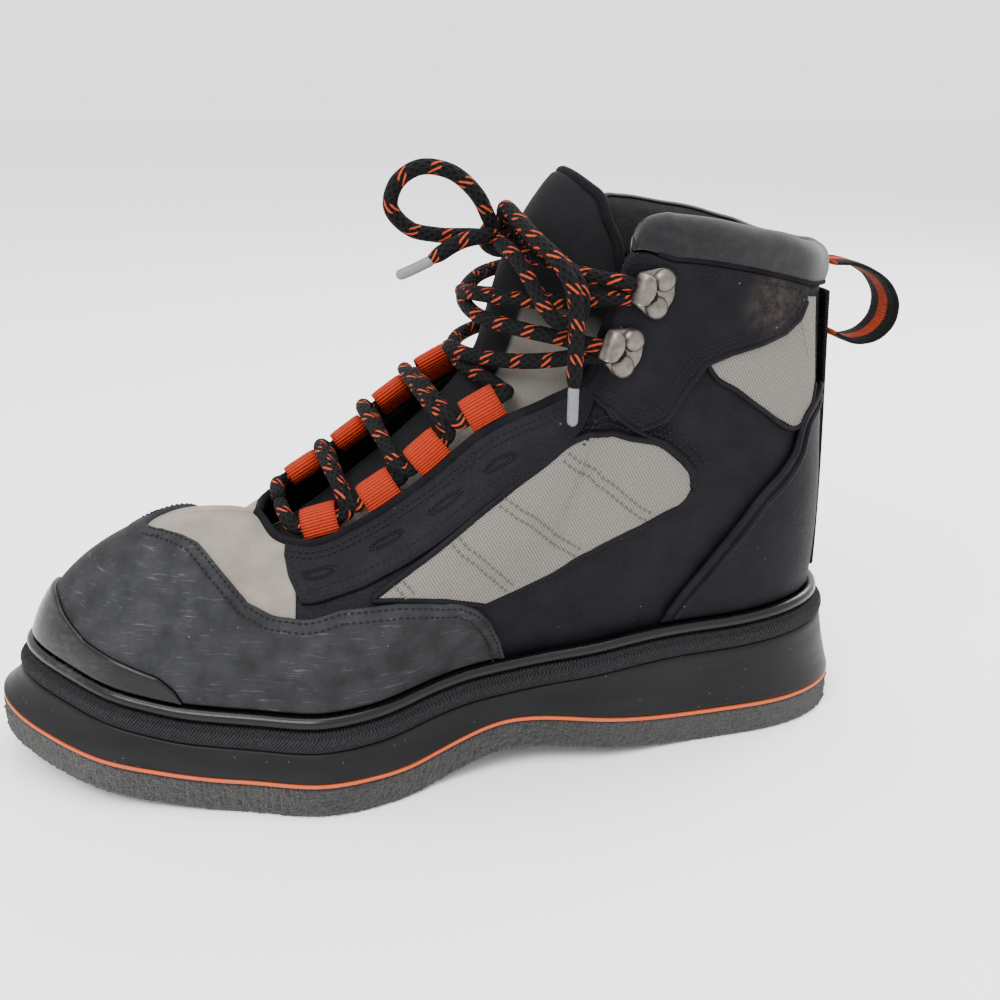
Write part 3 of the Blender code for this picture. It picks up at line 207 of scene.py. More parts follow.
END_LEFT = [
    (-0.0900, -0.0060, 0.1862), (-0.0960, -0.0090, 0.1880), (-0.1005, -0.0130, 0.1885),
    (-0.1090, -0.0140, 0.1870), (-0.1180, -0.0140, 0.1820), (-0.1215, -0.0140, 0.1798),
    (-0.1270, -0.0140, 0.1773), (-0.1318, -0.0140, 0.1755),
]
END_RIGHT = [
    (-0.0930, -0.0085, 0.1925), (-0.0935, -0.0110, 0.1972), (-0.0920, -0.0220, 0.1955),
    (-0.0890, -0.0350, 0.1905), (-0.0850, -0.0430, 0.1860), (-0.0820, -0.0480, 0.1810),
    (-0.0795, -0.0500, 0.1740), (-0.0786, -0.0505, 0.1630), (-0.0786, -0.0505, 0.1520),
    (-0.0788, -0.0505, 0.1416), (-0.0788, -0.0505, 0.1350), (-0.0788, -0.0505, 0.1302),
]

# Outlines of the sewn pieces: share along the foot, height on the section
CAP_EDGE = [
    (0.440, -0.03), (0.448, 0.00), (0.458, 0.08), (0.477, 0.17), (0.500, 0.24), (0.526, 0.30),
    (0.552, 0.34), (0.601, 0.44), (0.655, 0.52), (0.706, 0.52), (0.727, 0.49), (0.747, 0.46), (0.758, 0.50),
    (0.775, 0.58), (0.791, 0.66), (0.810, 0.75), (0.830, 0.80), (0.865, 0.88), (0.920, 0.89), (1.000, 0.89),
]
BUMPER_EDGE = [
    (0.806, -0.03), (0.820, 0.06), (0.837, 0.11), (0.869, 0.14), (0.930, 0.18), (0.964, 0.25),
    (0.988, 0.31), (1.000, 0.32),
]
COUNTER_EDGE = [
    (0.000, 0.68), (0.040, 0.65), (0.079, 0.59), (0.099, 0.50), (0.124, 0.44), (0.153, 0.38), (0.178, 0.30),
    (0.198, 0.23), (0.219, 0.16), (0.239, 0.09), (0.262, -0.01),
]
WING_EDGE = [
    (0.076, 1.00), (0.080, 0.953), (0.097, 0.896), (0.128, 0.848), (0.175, 0.808), (0.222, 0.775),
    (0.256, 0.744), (0.280, 0.68), (0.300, 0.60), (0.339, 0.57), (0.361, 0.60), (0.390, 0.67),
    (0.430, 0.82), (0.461, 0.95), (0.470, 1.00),
]
EYESTAY_EDGE = [
    (0.440, 0.93), (0.470, 0.85), (0.507, 0.765), (0.562, 0.68), (0.610, 0.62), (0.640, 0.60),
    (0.695, 0.61), (0.708, 0.76), (0.715, 0.95),
]
WEAVE_TOP = [
    (0.250, 0.410), (0.252, 0.432), (0.255, 0.452), (0.265, 0.478), (0.281, 0.505), (0.298, 0.530),
    (0.311, 0.543), (0.326, 0.548), (0.347, 0.553), (0.364, 0.567), (0.390, 0.602), (0.400, 0.627),
    (0.410, 0.660), (0.420, 0.693), (0.430, 0.722), (0.440, 0.755), (0.450, 0.787), (0.460, 0.809),
    (0.474, 0.824), (0.486, 0.819), (0.496, 0.799), (0.509, 0.773), (0.524, 0.742), (0.538, 0.706),
    (0.562, 0.664), (0.584, 0.628), (0.604, 0.585), (0.629, 0.515),
]
WEAVE_LOW = [
    (0.250, 0.408), (0.255, 0.381), (0.264, 0.361), (0.283, 0.346), (0.301, 0.328), (0.325, 0.307),
    (0.348, 0.284), (0.370, 0.265), (0.406, 0.258), (0.441, 0.254), (0.475, 0.244), (0.491, 0.239),
    (0.526, 0.298), (0.567, 0.375), (0.602, 0.452), (0.629, 0.508),
]
ANKLE_TOP = [(0.044, 0.965), (0.094, 0.965), (0.146, 0.92), (0.188, 0.87), (0.240, 0.80), (0.258, 0.775)]
ANKLE_LOW = [
    (0.044, 0.70), (0.056, 0.635), (0.075, 0.585), (0.099, 0.57), (0.163, 0.63), (0.206, 0.68),
    (0.240, 0.712), (0.252, 0.74), (0.258, 0.77),
]
SEAM = [
    (0.461, 0.95), (0.428, 0.819), (0.390, 0.675), (0.360, 0.602), (0.339, 0.572), (0.318, 0.555),
    (0.300, 0.540), (0.281, 0.513), (0.265, 0.487), (0.252, 0.455),
]
WEAVE_ROWS = [
    [(0.490, 0.795), (0.463, 0.716), (0.374, 0.455), (0.345, 0.405), (0.317, 0.361), (0.294, 0.333)],
    [(0.540, 0.700), (0.512, 0.605), (0.467, 0.495), (0.399, 0.311), (0.377, 0.258)],
    [(0.573, 0.625), (0.554, 0.532), (0.508, 0.385), (0.462, 0.262)],
    [(0.612, 0.560), (0.607, 0.528), (0.593, 0.450)],
]

# Soft creases: side, start (x, z), end (x, z), half width and depth, in metres (a negative depth is a ridge)
CREASES = [
    (OUTER, (-0.118, 0.083), (-0.092, 0.066), 0.0075, 0.0011),
    (OUTER, (-0.102, 0.098), (-0.078, 0.078), 0.0070, -0.0007),
    (OUTER, (-0.062, 0.140), (-0.030, 0.118), 0.0080, 0.0010),
    (OUTER, (0.006, 0.150), (0.020, 0.110), 0.0090, 0.0009),
    (INNER, (-0.120, 0.086), (-0.090, 0.070), 0.0080, 0.0012),
    (INNER, (-0.060, 0.140), (-0.028, 0.112), 0.0090, 0.0011),
    (OUTER, (-0.030, 0.082), (0.010, 0.070), 0.0100, 0.0007),
    (INNER, (-0.020, 0.085), (0.012, 0.070), 0.0100, 0.0008),
]


class BootSettings(bpy.types.PropertyGroup):
    """Sizes that the operators share."""

    stitch_pitch: bpy.props.FloatProperty(
        name="Stitch pitch", description="Distance from one stitch to the next", default=0.0023,
        min=0.001, max=0.006, unit="LENGTH", subtype="DISTANCE")
    row_gap: bpy.props.FloatProperty(
        name="Row gap", description="Distance between the rows of a double seam", default=0.0032,
        min=0.001, max=0.008, unit="LENGTH", subtype="DISTANCE")
    felt_fuzz: bpy.props.FloatProperty(
        name="Felt fuzz", description="How far the felt's cut wall stands in and out", default=0.00035,
        min=0.0, max=0.001, unit="LENGTH", subtype="DISTANCE")
    seed: bpy.props.IntProperty(
        name="Seed", description="Start of the irregular detail", default=11, min=0)


# Shape functions

SLOPE_STEP, TURN_STEP = 2e-3, 1e-3
WELD, SHELL_COLUMNS, SHELL_ROWS, SHELL_INSET = 2e-5, 400, 60, 0.0004
PANEL_WALL, UNDER_THE_BINDING, UNDER_THE_COLLAR = 0.0005, 0.9995, 0.998


def smooth_column(rows, column, at):
    """Cubic curve through one column of a table, with slopes from the neighbouring rows."""
    table = np.asarray(rows, dtype=float)
    knots, values = table[:, 0], table[:, column]
    slopes = np.gradient(values, knots)
    at = np.clip(np.asarray(at, dtype=float), knots[0], knots[-1])
    index = np.clip(np.searchsorted(knots, at, side="right") - 1, 0, len(knots) - 2)
    width = knots[index + 1] - knots[index]
    t = (at - knots[index]) / width
    return (values[index] * (2 * t ** 3 - 3 * t ** 2 + 1) + slopes[index] * width * (t ** 3 - 2 * t ** 2 + t)
            + values[index + 1] * (3 * t ** 2 - 2 * t ** 3) + slopes[index + 1] * width * (t ** 3 - t ** 2))


def ease(t):
    """S-shaped blend from 0 to 1."""
    t = np.clip(t, 0.0, 1.0)
    return t * t * (3 - 2 * t)


def unit(v):
    """Vectors brought to length 1."""
    return v / (np.linalg.norm(v, axis=-1, keepdims=True) + 1e-12)


def run_along(points):
    """Distance along a row of points, from 0 at its start."""
    return np.concatenate([[0], np.cumsum(np.linalg.norm(np.diff(points, axis=0), axis=1))])


FULLNESS = [(share, centre, half / (2 * math.sqrt(share * (1 - share)))) for share, centre, half in OUTLINE]


def outline_xy(turn, side):
    """Point of the sole's outline. turn runs from 0 at the heel to pi at the toe."""
    share = (1 - np.cos(turn)) / 2
    half = smooth_column(FULLNESS, 2, share) * np.sin(turn)
    return HEEL_REACH - share * SOLE_LENGTH, (smooth_column(FULLNESS, 1, share) + side * half) * BALL_WIDTH


def inset_outline(turn, side, inset):
    """Sole outline moved inward square to itself, with the inward directions."""
    x0, y0 = outline_xy(turn - 1e-4, side)
    x1, y1 = outline_xy(turn + 1e-4, side)
    length = np.hypot(x1 - x0, y1 - y0)
    inward_x, inward_y = -side * (y1 - y0) / length, side * (x1 - x0) / length
    x, y = outline_xy(turn, side)
    return x + inward_x * inset, y + inward_y * inset, inward_x, inward_y


def floor_height(x):
    """Underside of the felt: flat at heel and forefoot, raised at the arch and the toe."""
    share = (HEEL_REACH - x) / SOLE_LENGTH
    arch_top = (HEEL_FLAT_END + FOREFOOT_FLAT_START) / 2 + 0.06
    rise = ease((share - HEEL_FLAT_END) / (arch_top - HEEL_FLAT_END))
    fall = ease((FOREFOOT_FLAT_START - share) / (FOREFOOT_FLAT_START - arch_top))
    toe = np.clip((share - FOREFOOT_FLAT_END) / (1 - FOREFOOT_FLAT_END), 0, 1)
    return ARCH_LIFT * np.minimum(rise, fall) + TOE_SPRING * toe ** 1.7


def wall_top(x):
    """Height of the top of the smooth sole wall."""
    return HEEL_HEIGHT * smooth_column(WALL_TOP, 1, (HEEL_REACH - x) / SOLE_LENGTH)


def wall_draft(share):
    """How far the top of the sole wall lies inside its foot."""
    return (SIDE_DRAFT + (HEEL_DRAFT - SIDE_DRAFT) * ease((0.12 - share) / 0.12)
            + (TOE_DRAFT - SIDE_DRAFT) * ease((share - 0.84) / 0.16))


def seat_height(x):
    """Height of the face on which the upper sits."""
    return wall_top(x) + GAP + STRIP_HEIGHT + LEDGE_RISE + GAP


def top_across(rows, share):
    """How far the top edge lies from the middle: round where it meets at the heel."""
    table = [(row[0], row[2] / math.sqrt(row[0] * (1 - row[0]))) for row in rows if 0 < row[0] < 1]
    return smooth_column(table, 1, share) * np.sqrt(np.maximum(share * (1 - share), 0))


def top_edge(share, side):
    """Top edge of the upper: collar line, throat edge, then the ridge where both sides meet."""
    crest = np.minimum(share, CREST_END)
    own = OUTER_SECTIONS if side == OUTER else INNER_SECTIONS
    other = INNER_SECTIONS if side == OUTER else OUTER_SECTIONS
    shared = np.where(crest > THROAT_START, 0.5, 0.0)
    along = smooth_column(own, 1, crest) * (1 - shared) + smooth_column(other, 1, crest) * shared
    across = top_across(own, crest) * (1 - shared) - top_across(other, crest) * shared
    up = smooth_column(own, 3, crest) * (1 - shared) + smooth_column(other, 3, crest) * shared
    return HEEL_REACH - along * SOLE_LENGTH, side * across * BALL_WIDTH, up * COLLAR_HEIGHT


def upper_point(turn, side, h):
    """Point of the upper: on each section a cubic curve from the foot line to the top edge."""
    rows = OUTER_SECTIONS if side == OUTER else INNER_SECTIONS
    share = (1 - np.cos(turn)) / 2
    low_lean, low_reach, top_lean, top_reach = [smooth_column(rows, i, share) for i in (4, 5, 6, 7)]
    low_lean, top_lean = np.radians(low_lean), np.radians(top_lean)
    x, y, inward_x, inward_y = inset_outline(turn, side,
                                             PIPING_INSET + PIPING_RADIUS + GAP + wall_draft(share))
    z = seat_height(x) + SKIRT_HEIGHT
    top_x, top_y, top_z = top_edge(share, side)
    chord = np.sqrt((top_x - x) ** 2 + (top_y - y) ** 2 + (top_z - z) ** 2)
    level = np.hypot(top_x - x, top_y - y) + 1e-9
    toward = ease((share - 0.55) / 0.2)
    over_x = inward_x * (1 - toward) + (top_x - x) / level * toward
    over_y = inward_y * (1 - toward) + (top_y - y) / level * toward
    over = np.hypot(over_x, over_y)
    over_x, over_y = over_x / over, over_y / over
    slope = RIDGE_SLOPE * ease((share - THROAT_START) / (CREST_END - THROAT_START))
    low, top = low_reach * chord, top_reach * chord
    p0, p3 = (x, y, z), (top_x, top_y, top_z)
    low_x, low_y = inward_x * np.sin(low_lean) * low, inward_y * np.sin(low_lean) * low
    p1 = (x + low_x, y + low_y, z + np.cos(low_lean) * low)
    p2 = (top_x - over_x * np.sin(top_lean) * top, top_y - over_y * np.sin(top_lean) * top,
          top_z - (np.cos(top_lean) + slope * over_x) * top)
    weights = ((1 - h) ** 3, 3 * h * (1 - h) ** 2, 3 * h ** 2 * (1 - h), h ** 3)
    return np.stack([sum(w * p[i] for w, p in zip(weights, (p0, p1, p2, p3))) for i in range(3)], axis=-1)


def plain_skin(a, h):
    """Upper over one parameter round the foot: a is below 0 outside, above 0 inside, and pi at the toe."""
    a, h = np.broadcast_arrays(np.asarray(a, dtype=float), np.asarray(h, dtype=float))
    a = (a + math.pi) % (2 * math.pi) - math.pi
    outer, inner = upper_point(np.abs(a), OUTER, h), upper_point(np.abs(a), INNER, h)
    return np.where((a < 0)[..., None], outer, inner)


def tangents(a, h):
    """Directions of the upper's surface round the foot and up it, and its outward normal."""
    a, h = np.broadcast_arrays(np.asarray(a, dtype=float), np.asarray(h, dtype=float))
    h = np.minimum(h, 0.992)
    step = SLOPE_STEP
    round_foot = (plain_skin(a + step, h) - plain_skin(a - step, h)) / (2 * step)
    up = (plain_skin(a, h + step) - plain_skin(a, h - step)) / (2 * step)
    return round_foot, up, unit(np.cross(round_foot, up))


def crease_depth(place):
    """Depth of the listed creases: a rounded trough along each segment, fading at both ends."""
    depth = np.zeros(place.shape[:-1])
    for side, start, end, width, deep in CREASES:
        start, end = np.array(start), np.array(end)
        line = end - start
        flat = place[..., (0, 2)] - start
        t = np.clip((flat @ line) / (line @ line), 0, 1)
        away = np.linalg.norm(flat - t[..., None] * line, axis=-1)
        depth += deep * np.exp(-(away / width) ** 2) * ease((place[..., 1] * side - 0.004) / 0.015)
    return depth


def skin(a, h, lift=0.0):
    """Creased face of the upper, moved outward by lift."""
    place = plain_skin(a, h)
    return place + tangents(a, h)[2] * (lift - crease_depth(place))[..., None]


def angle(share, side=INNER):
    """Parameter round the foot of a section, by side."""
    return side * np.arccos(1 - 2 * np.clip(np.asarray(share, dtype=float), 0, 1))


def shift_curve(a, h, distance):
    """Curve on the upper moved sideways by a real distance, square to itself, found in a few Newton steps."""
    place = plain_skin(a, h)
    goal = place + np.cross(tangents(a, h)[2], unit(np.gradient(place, axis=0))) * distance
    for _ in range(6):
        round_foot, up, _ = tangents(a, h)
        left = goal - plain_skin(a, h)
        aa, ab, bb = (round_foot ** 2).sum(-1), (round_foot * up).sum(-1), (up ** 2).sum(-1)
        ca, cb = (left * round_foot).sum(-1), (left * up).sum(-1)
        size = aa * bb - ab ** 2 + 1e-15
        a = a + np.clip((ca * bb - cb * ab) / size, -0.03, 0.03)
        h = h + np.clip((cb * aa - ca * ab) / size, -0.03, 0.03)
    return a, h


def surface_frame(share, side, height, lift=0.0):
    """Place and directions on the upper: toward the toe, toward the top edge, and outward."""
    turn, step = math.acos(1 - 2 * share), TURN_STEP
    here = upper_point(np.array(turn), side, height)
    before, after = [upper_point(np.array(t), side, height) for t in (turn - step, turn + step)]
    toe = Vector(after - before)
    top = Vector(here - upper_point(np.array(turn), side, height - step))
    toe.normalize()
    top.normalize()
    out = toe.cross(top).normalized()
    if out.y * side < 0 and abs(out.y) > 0.3 or out.z < -0.5:
        out = -out
    return Vector(here) + out * lift, toe, top, out


def loop_frame(share, side):
    """Seat of a lace loop just past the throat edge, with its directions."""
    place, _, top, out = surface_frame(share, side, 1.0)
    turn, step = math.acos(1 - 2 * share), TURN_STEP
    pace = upper_point(np.array([turn - step, turn + step]), side, 1.0)
    spread = LOOP_WIDTH * step / np.linalg.norm(pace[1] - pace[0])
    edge = [Vector(p) for p in upper_point(turn + np.linspace(-spread, spread, 9) * 1.3, side, 1.0)]
    along = (edge[-1] - edge[0]).normalized()
    top = (top - along * top.dot(along)).normalized()
    square = along.cross(top)
    out = square if square.dot(out) > 0 else -square
    bulge = max((p - place).dot(top) for p in edge)
    return place + top * (bulge + LOOP_SET_OFF), along, top, out


def smooth_route(route, spacing=0.0006):
    """Points of a smooth curve through a route, about spacing apart."""
    route = np.array(route, dtype=float)
    length = run_along(route)
    at = np.linspace(0, length[-1], max(3, int(round(length[-1] / spacing)) + 1))
    return np.stack([smooth_column(np.column_stack([length, route]), i, at) for i in (1, 2, 3)], axis=-1)


def along_path(path, at=None, spacing=None):
    """Points at given distances along a polyline, or evenly spaced, with those distances."""
    length = run_along(path)
    if at is None:
        at = np.linspace(0, length[-1], max(2, int(round(length[-1] / spacing)) + 1))
    at = np.clip(at, 0, length[-1])
    return np.stack([np.interp(at, length, path[:, i]) for i in range(path.shape[1])], axis=-1), at


def tongue_point(v, w, depth):
    """Point of the tongue: v runs from foot to top, w across from -1 to 1, depth from the front inward."""
    steps = [(i / (len(TONGUE) - 1), *row) for i, row in enumerate(TONGUE)]
    along, up, reach_out, drop_out, reach_in, drop_in, pad = [smooth_column(steps, i, v) for i in range(1, 8)]
    d_x = -(smooth_column(steps, 1, v + 1e-3) - smooth_column(steps, 1, v - 1e-3)) * SOLE_LENGTH
    d_z = (smooth_column(steps, 2, v + 1e-3) - smooth_column(steps, 2, v - 1e-3)) * COLLAR_HEIGHT
    size = np.hypot(d_x, d_z)
    front_x, front_z = -d_z / size, d_x / size
    reach, drop = np.where(w < 0, reach_out, reach_in), np.where(w < 0, drop_out, drop_in)
    back = drop * BALL_WIDTH * np.abs(w) ** 2.2 + depth * TONGUE_PADDING * pad
    return np.stack([HEEL_REACH - along * SOLE_LENGTH - front_x * back,
                     (TONGUE_CENTRE + w * reach) * BALL_WIDTH,
                     up * COLLAR_HEIGHT - front_z * back], axis=-1)


# Mesh making

def add_piece(mesh, material, nodes=()):
    """Object from a mesh, riding on the boot, with its material and the CAD nodes it stands for."""
    if not len(mesh.polygons):
        raise RuntimeError("a piece has no faces")
    piece = bpy.data.objects.new(mesh.name, mesh)
    bpy.context.scene.collection.objects.link(piece)
    for one in material if isinstance(material, (list, tuple)) else [material]:
        mesh.materials.append(bpy.data.materials[one])
    mesh.polygons.foreach_set("use_smooth", np.ones(len(mesh.polygons), bool))
    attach(piece, "root")
    if nodes:
        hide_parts(*nodes)
    return piece


def lattice(name, grid, wrap=(False, False), uv=None, caps=()):
    """Mesh over a two-way grid of points, closed along either way, with end faces and UVs."""
    rows, cols = grid.shape[:2]
    i, j = np.meshgrid(np.arange(rows - (not wrap[0])), np.arange(cols - (not wrap[1])), indexing="ij")
    i, j = i.ravel(), j.ravel()
    corners = [(i, j), (i, j + 1), (i + 1, j + 1), (i + 1, j)]
    quads = np.stack([(a % rows) * cols + b % cols for a, b in corners], axis=1)
    mesh = bpy.data.meshes.new(name)
    mesh.from_pydata(grid.reshape(-1, 3).tolist(), [], quads.tolist() + [list(cap) for cap in caps])
    if uv is not None:
        layer = mesh.uv_layers.new(name="UVMap")
        flat = np.stack([uv[a, b] for a, b in corners], axis=1).reshape(-1, 2)
        extra = np.zeros((sum(len(cap) for cap in caps), 2))
        layer.data.foreach_set("uv", np.concatenate([flat, extra]).astype(np.float32).ravel())
    return mesh


def outward(mesh, weld=0.0):
    """Turns a closed mesh's faces outward. With weld, points that near are joined, and doubled faces go."""
    work = bmesh.new()
    work.from_mesh(mesh)
    if weld:
        bmesh.ops.remove_doubles(work, verts=work.verts, dist=weld)
        spans = {}
        for one in work.faces:
            spans.setdefault(frozenset(one.verts), []).append(one)
        doubled = [one for pair in spans.values() if len(pair) > 1 for one in pair]
        bmesh.ops.delete(work, geom=doubled, context="FACES_ONLY")
    bmesh.ops.recalc_face_normals(work, faces=work.faces)
    work.to_mesh(mesh)
    work.free()
    return mesh


def carried_frames(path):
    """Tangents and side directions along a path, each side direction carried on with the least turn."""
    tangent = unit(np.gradient(path, axis=0))
    start = np.cross(tangent[0], (0, 0, 1) if abs(tangent[0][2]) < 0.9 else (0, 1, 0))
    sides = [unit(start - tangent[0] * (start @ tangent[0]))]
    for ahead in tangent[1:]:
        sides.append(unit(sides[-1] - ahead * (sides[-1] @ ahead)))
    sides = np.array(sides)
    return tangent, sides, np.cross(tangent, sides)


DOME_STEPS, TAPER_LOSS = np.array([0.0, 0.06, 0.25, 0.55]), 0.42


def tube_mesh(name, path, radius, sides=16, spacing=0.0008, flat=1.0, taper=0.0):
    """Closed round or flattened tube: rings square to a path, drawn in to a dome at both ends.

    With taper, the last stretch of that length thins toward its end.
    """
    total = along_path(path, spacing=spacing)[1][-1]
    ends = radius * DOME_STEPS
    body = np.linspace(radius, total - radius, max(2, int(total / spacing)))
    at = np.concatenate([ends, body, (total - ends)[::-1]])
    line, _ = along_path(path, at)
    from_end = np.clip(np.minimum(at, total - at) / radius, 0, 1)
    size = radius * np.sqrt(np.clip(1 - (1 - from_end) ** 2, 0.0004, 1))
    if taper:
        size *= 1 - TAPER_LOSS * ease((at - total + taper) / taper)
    _, one, two = carried_frames(line)
    turn = np.linspace(0, 2 * math.pi, sides, endpoint=False)
    ring = one[:, None] * np.cos(turn)[:, None] + two[:, None] * (np.sin(turn) * flat)[:, None]
    grid = line[:, None] + ring * size[:, None, None]
    uv = np.stack(np.meshgrid(np.linspace(0, 1, sides + 1), at), axis=-1)
    last = (len(at) - 1) * sides
    mesh = lattice(name, grid, (False, True), uv, [range(sides), range(last, last + sides)])
    return outward(mesh)


# Distances in from a panel's edge, and how much of its rise it has there: this rolls the edge
RIM = np.array([0.0, 0.00002, 0.00025, 0.00060, 0.00110])
RIM_LIFT = np.array([-0.35, 0.30, 0.74, 0.94, 1.0])


def panel_grid(a, low, high, lift, rise, rows=20, fold=None):
    """Grid between two height curves, its edges rolled by close rows. fold: a raised hem's width and rise."""
    share = (1 - np.cos(a)) / 2
    lo, hi = low(share) * np.ones_like(share), high(share) * np.ones_like(share)
    hi = np.maximum(hi, lo + 0.002)
    width = np.linalg.norm(plain_skin(a, hi) - plain_skin(a, lo), axis=-1) + 1e-5
    rim = np.minimum(RIM[None] / width[:, None], 0.06 * np.arange(len(RIM))[None])
    mid = rim[:, -1:] + (1 - 2 * rim[:, -1:]) * np.linspace(0, 1, rows)[None, 1:-1]
    t = np.concatenate([rim, mid, 1 - rim[:, ::-1]], axis=1)
    level = np.concatenate([RIM_LIFT, np.ones(rows - 2), RIM_LIFT[::-1]])[None] * np.ones((len(a), 1))
    run = run_along(plain_skin(a, (lo + hi) / 2))
    end = np.minimum(run, run[-1] - run)
    level = np.minimum(level, np.interp(end, RIM, RIM_LIFT)[:, None])
    h = lo[:, None] + (hi - lo)[:, None] * t
    raised = np.zeros_like(t)
    if fold:
        size, extra = fold
        raised = extra * (1 - ease(((1 - t) * width[:, None] - size) / 0.0014))
    place = skin(a[:, None] * np.ones_like(h), h, lift + (rise + raised) * level)
    return place.transpose(1, 0, 2)


def panel_columns(a0, a1, count):
    """Even columns with close ones at both ends for the rolled ends."""
    length = abs(a1 - a0)
    rim = RIM / 0.11 / length
    middle = np.linspace(rim[-1], 1 - rim[-1], count)[1:-1]
    return a0 + (a1 - a0) * np.concatenate([rim, middle, 1 - rim[::-1]])


def add_panel(name, a0, a1, low, high, material, slot, lift=GAP, rise=OVERLAY, nodes=(), count=200, rows=20,
              fold=None):
    """Sewn piece on the upper, closed underneath by a thin wall."""
    grid = panel_grid(panel_columns(a0, a1, count), low, high, lift, rise, rows, fold)
    piece = add_piece(lattice(name, grid), material, nodes)
    wall = piece.modifiers.new("back", "SOLIDIFY")
    wall.thickness = PANEL_WALL
    wall.offset = -1
    return piece


def line(table):
    """Straight-sided height curve through a table."""
    rows = np.array(table)
    return lambda share: np.interp(share, rows[:, 0], rows[:, 1])


def curve_on(table, side, count=240, smooth=False):
    """Curve on the upper through a table of sections and heights, as parameters."""
    rows = np.array(table, dtype=float)
    length = run_along(plain_skin(angle(rows[:, 0], side), rows[:, 1]))
    at = np.linspace(0, length[-1], count)
    if smooth and len(rows) > 2:
        full = np.column_stack([length, rows])
        return angle(smooth_column(full, 1, at), side), smooth_column(full, 2, at)
    return angle(np.interp(at, length, rows[:, 0]), side), np.interp(at, length, rows[:, 1])


# A stitch's rings: place along it, and size and rise over the surface as shares of its radius
STITCH_PROFILE = [(-0.5, 0.25, -0.5), (-0.32, 0.95, 0.1), (0.0, 1.0, 0.35), (0.32, 0.95, 0.1),
                  (0.5, 0.25, -0.5)]


class Stitches:
    """Gathers stitches and makes them into one mesh: each a small rounded bar."""

    def __init__(self):
        self.points, self.quads = [], []

    def row(self, path, normals, pitch, length=0.0016, radius=0.00034):
        """Stitches along a path, each square to the surface's normal."""
        spots, at = along_path(path, spacing=pitch)
        if len(spots) < 3:
            return
        reach = run_along(path)
        normal = unit(np.stack([np.interp(at, reach, normals[:, i]) for i in range(3)], axis=-1))
        tangent = unit(np.gradient(spots, axis=0))
        side = unit(np.cross(normal, tangent))
        turn = np.linspace(0, 2 * math.pi, 6, endpoint=False)
        ring = side[:, None] * np.cos(turn)[:, None] + normal[:, None] * np.sin(turn)[:, None]
        rings = []
        for shift, size, rise in STITCH_PROFILE:
            centre = spots + tangent * shift * length + normal * rise * radius
            rings.append(centre[:, None] + ring * size * radius)
        block = np.stack(rings, axis=1)
        count = sum(len(p) for p in self.points)
        self.points.append(block.reshape(-1, 3))
        k, i, j = np.meshgrid(np.arange(len(spots)), np.arange(4), np.arange(6), indexing="ij")
        base, i, j = count + k.ravel() * 30, i.ravel(), j.ravel()
        self.quads.append(np.stack([base + i * 6 + j, base + i * 6 + (j + 1) % 6,
                                    base + (i + 1) * 6 + (j + 1) % 6, base + (i + 1) * 6 + j], axis=1))

    def on(self, a, h, lift, pitch, length=0.0016):
        """Stitches along a curve on the upper."""
        self.row(skin(a, h, lift), tangents(a, h)[2], pitch, length)

    def piece(self, name, material, slot):
        """One piece of all the stitches."""
        mesh = bpy.data.meshes.new(name)
        mesh.from_pydata(np.concatenate(self.points).tolist(), [], np.concatenate(self.quads).tolist())
        return add_piece(mesh, material)


# Materials

PAINT = 0.60


def linear(code):
    """sRGB hex colour as linear RGBA, brought down to suit the bright studio light."""
    parts = [int(code[i:i + 2], 16) / 255 for i in (1, 3, 5)]
    return (*[PAINT * (p / 12.92 if p <= 0.04045 else ((p + 0.055) / 1.055) ** 2.4) for p in parts], 1.0)


def add_node(tree, kind, inputs=None, **settings):
    """Adds a node, sets its settings, and links or sets its inputs by name or number."""
    node = tree.nodes.new(kind)
    for key, value in settings.items():
        setattr(node, key, value)
    for key, value in (inputs or {}).items():
        if isinstance(value, bpy.types.NodeSocket):
            tree.links.new(value, node.inputs[key])
        else:
            node.inputs[key].default_value = value
    return node


# The nodes used most: kind, settings, inputs set from the start, inputs that the values go to, and output
MATH = ("ADD", "SUBTRACT", "MULTIPLY", "SINE", "ABSOLUTE", "FRACT", "MAXIMUM")
NODE_WORDS = {word: ("ShaderNodeMath", {"operation": word}, {}, (0, 1), 0) for word in MATH}
NODE_WORDS["blend"] = ("ShaderNodeMix", {"data_type": "RGBA"}, {}, (0, 6, 7), 2)
NODE_WORDS["spread"] = ("ShaderNodeMapRange", {}, {}, (0, 1, 2, 3, 4), 0)
NODE_WORDS["noise"] = ("ShaderNodeTexNoise", {}, {"Roughness": 0.55},
                       ("Vector", "Scale", "Detail", "Roughness"), 0)
NODE_WORDS["cells"] = ("ShaderNodeTexVoronoi", {}, {}, ("Vector", "Scale"), 0)
NODE_WORDS["stretched"] = ("ShaderNodeMapping", {}, {}, ("Vector", "Rotation", "Scale"), 0)


def result(tree, word, *values):
    """Output of a node that NODE_WORDS describes, its values linked or set in order."""
    kind, settings, first, keys, output = NODE_WORDS[word]
    return add_node(tree, kind, {**first, **dict(zip(keys, values))}, **settings).outputs[output]


def start_material(name):
    """New material with its tree, Object coordinates and UVs."""
    material = bpy.data.materials.new(name)
    material.use_nodes = True
    tree = material.node_tree
    tree.nodes.clear()
    coords = tree.nodes.new("ShaderNodeTexCoord")
    return tree, coords.outputs["Object"], coords.outputs["UV"]


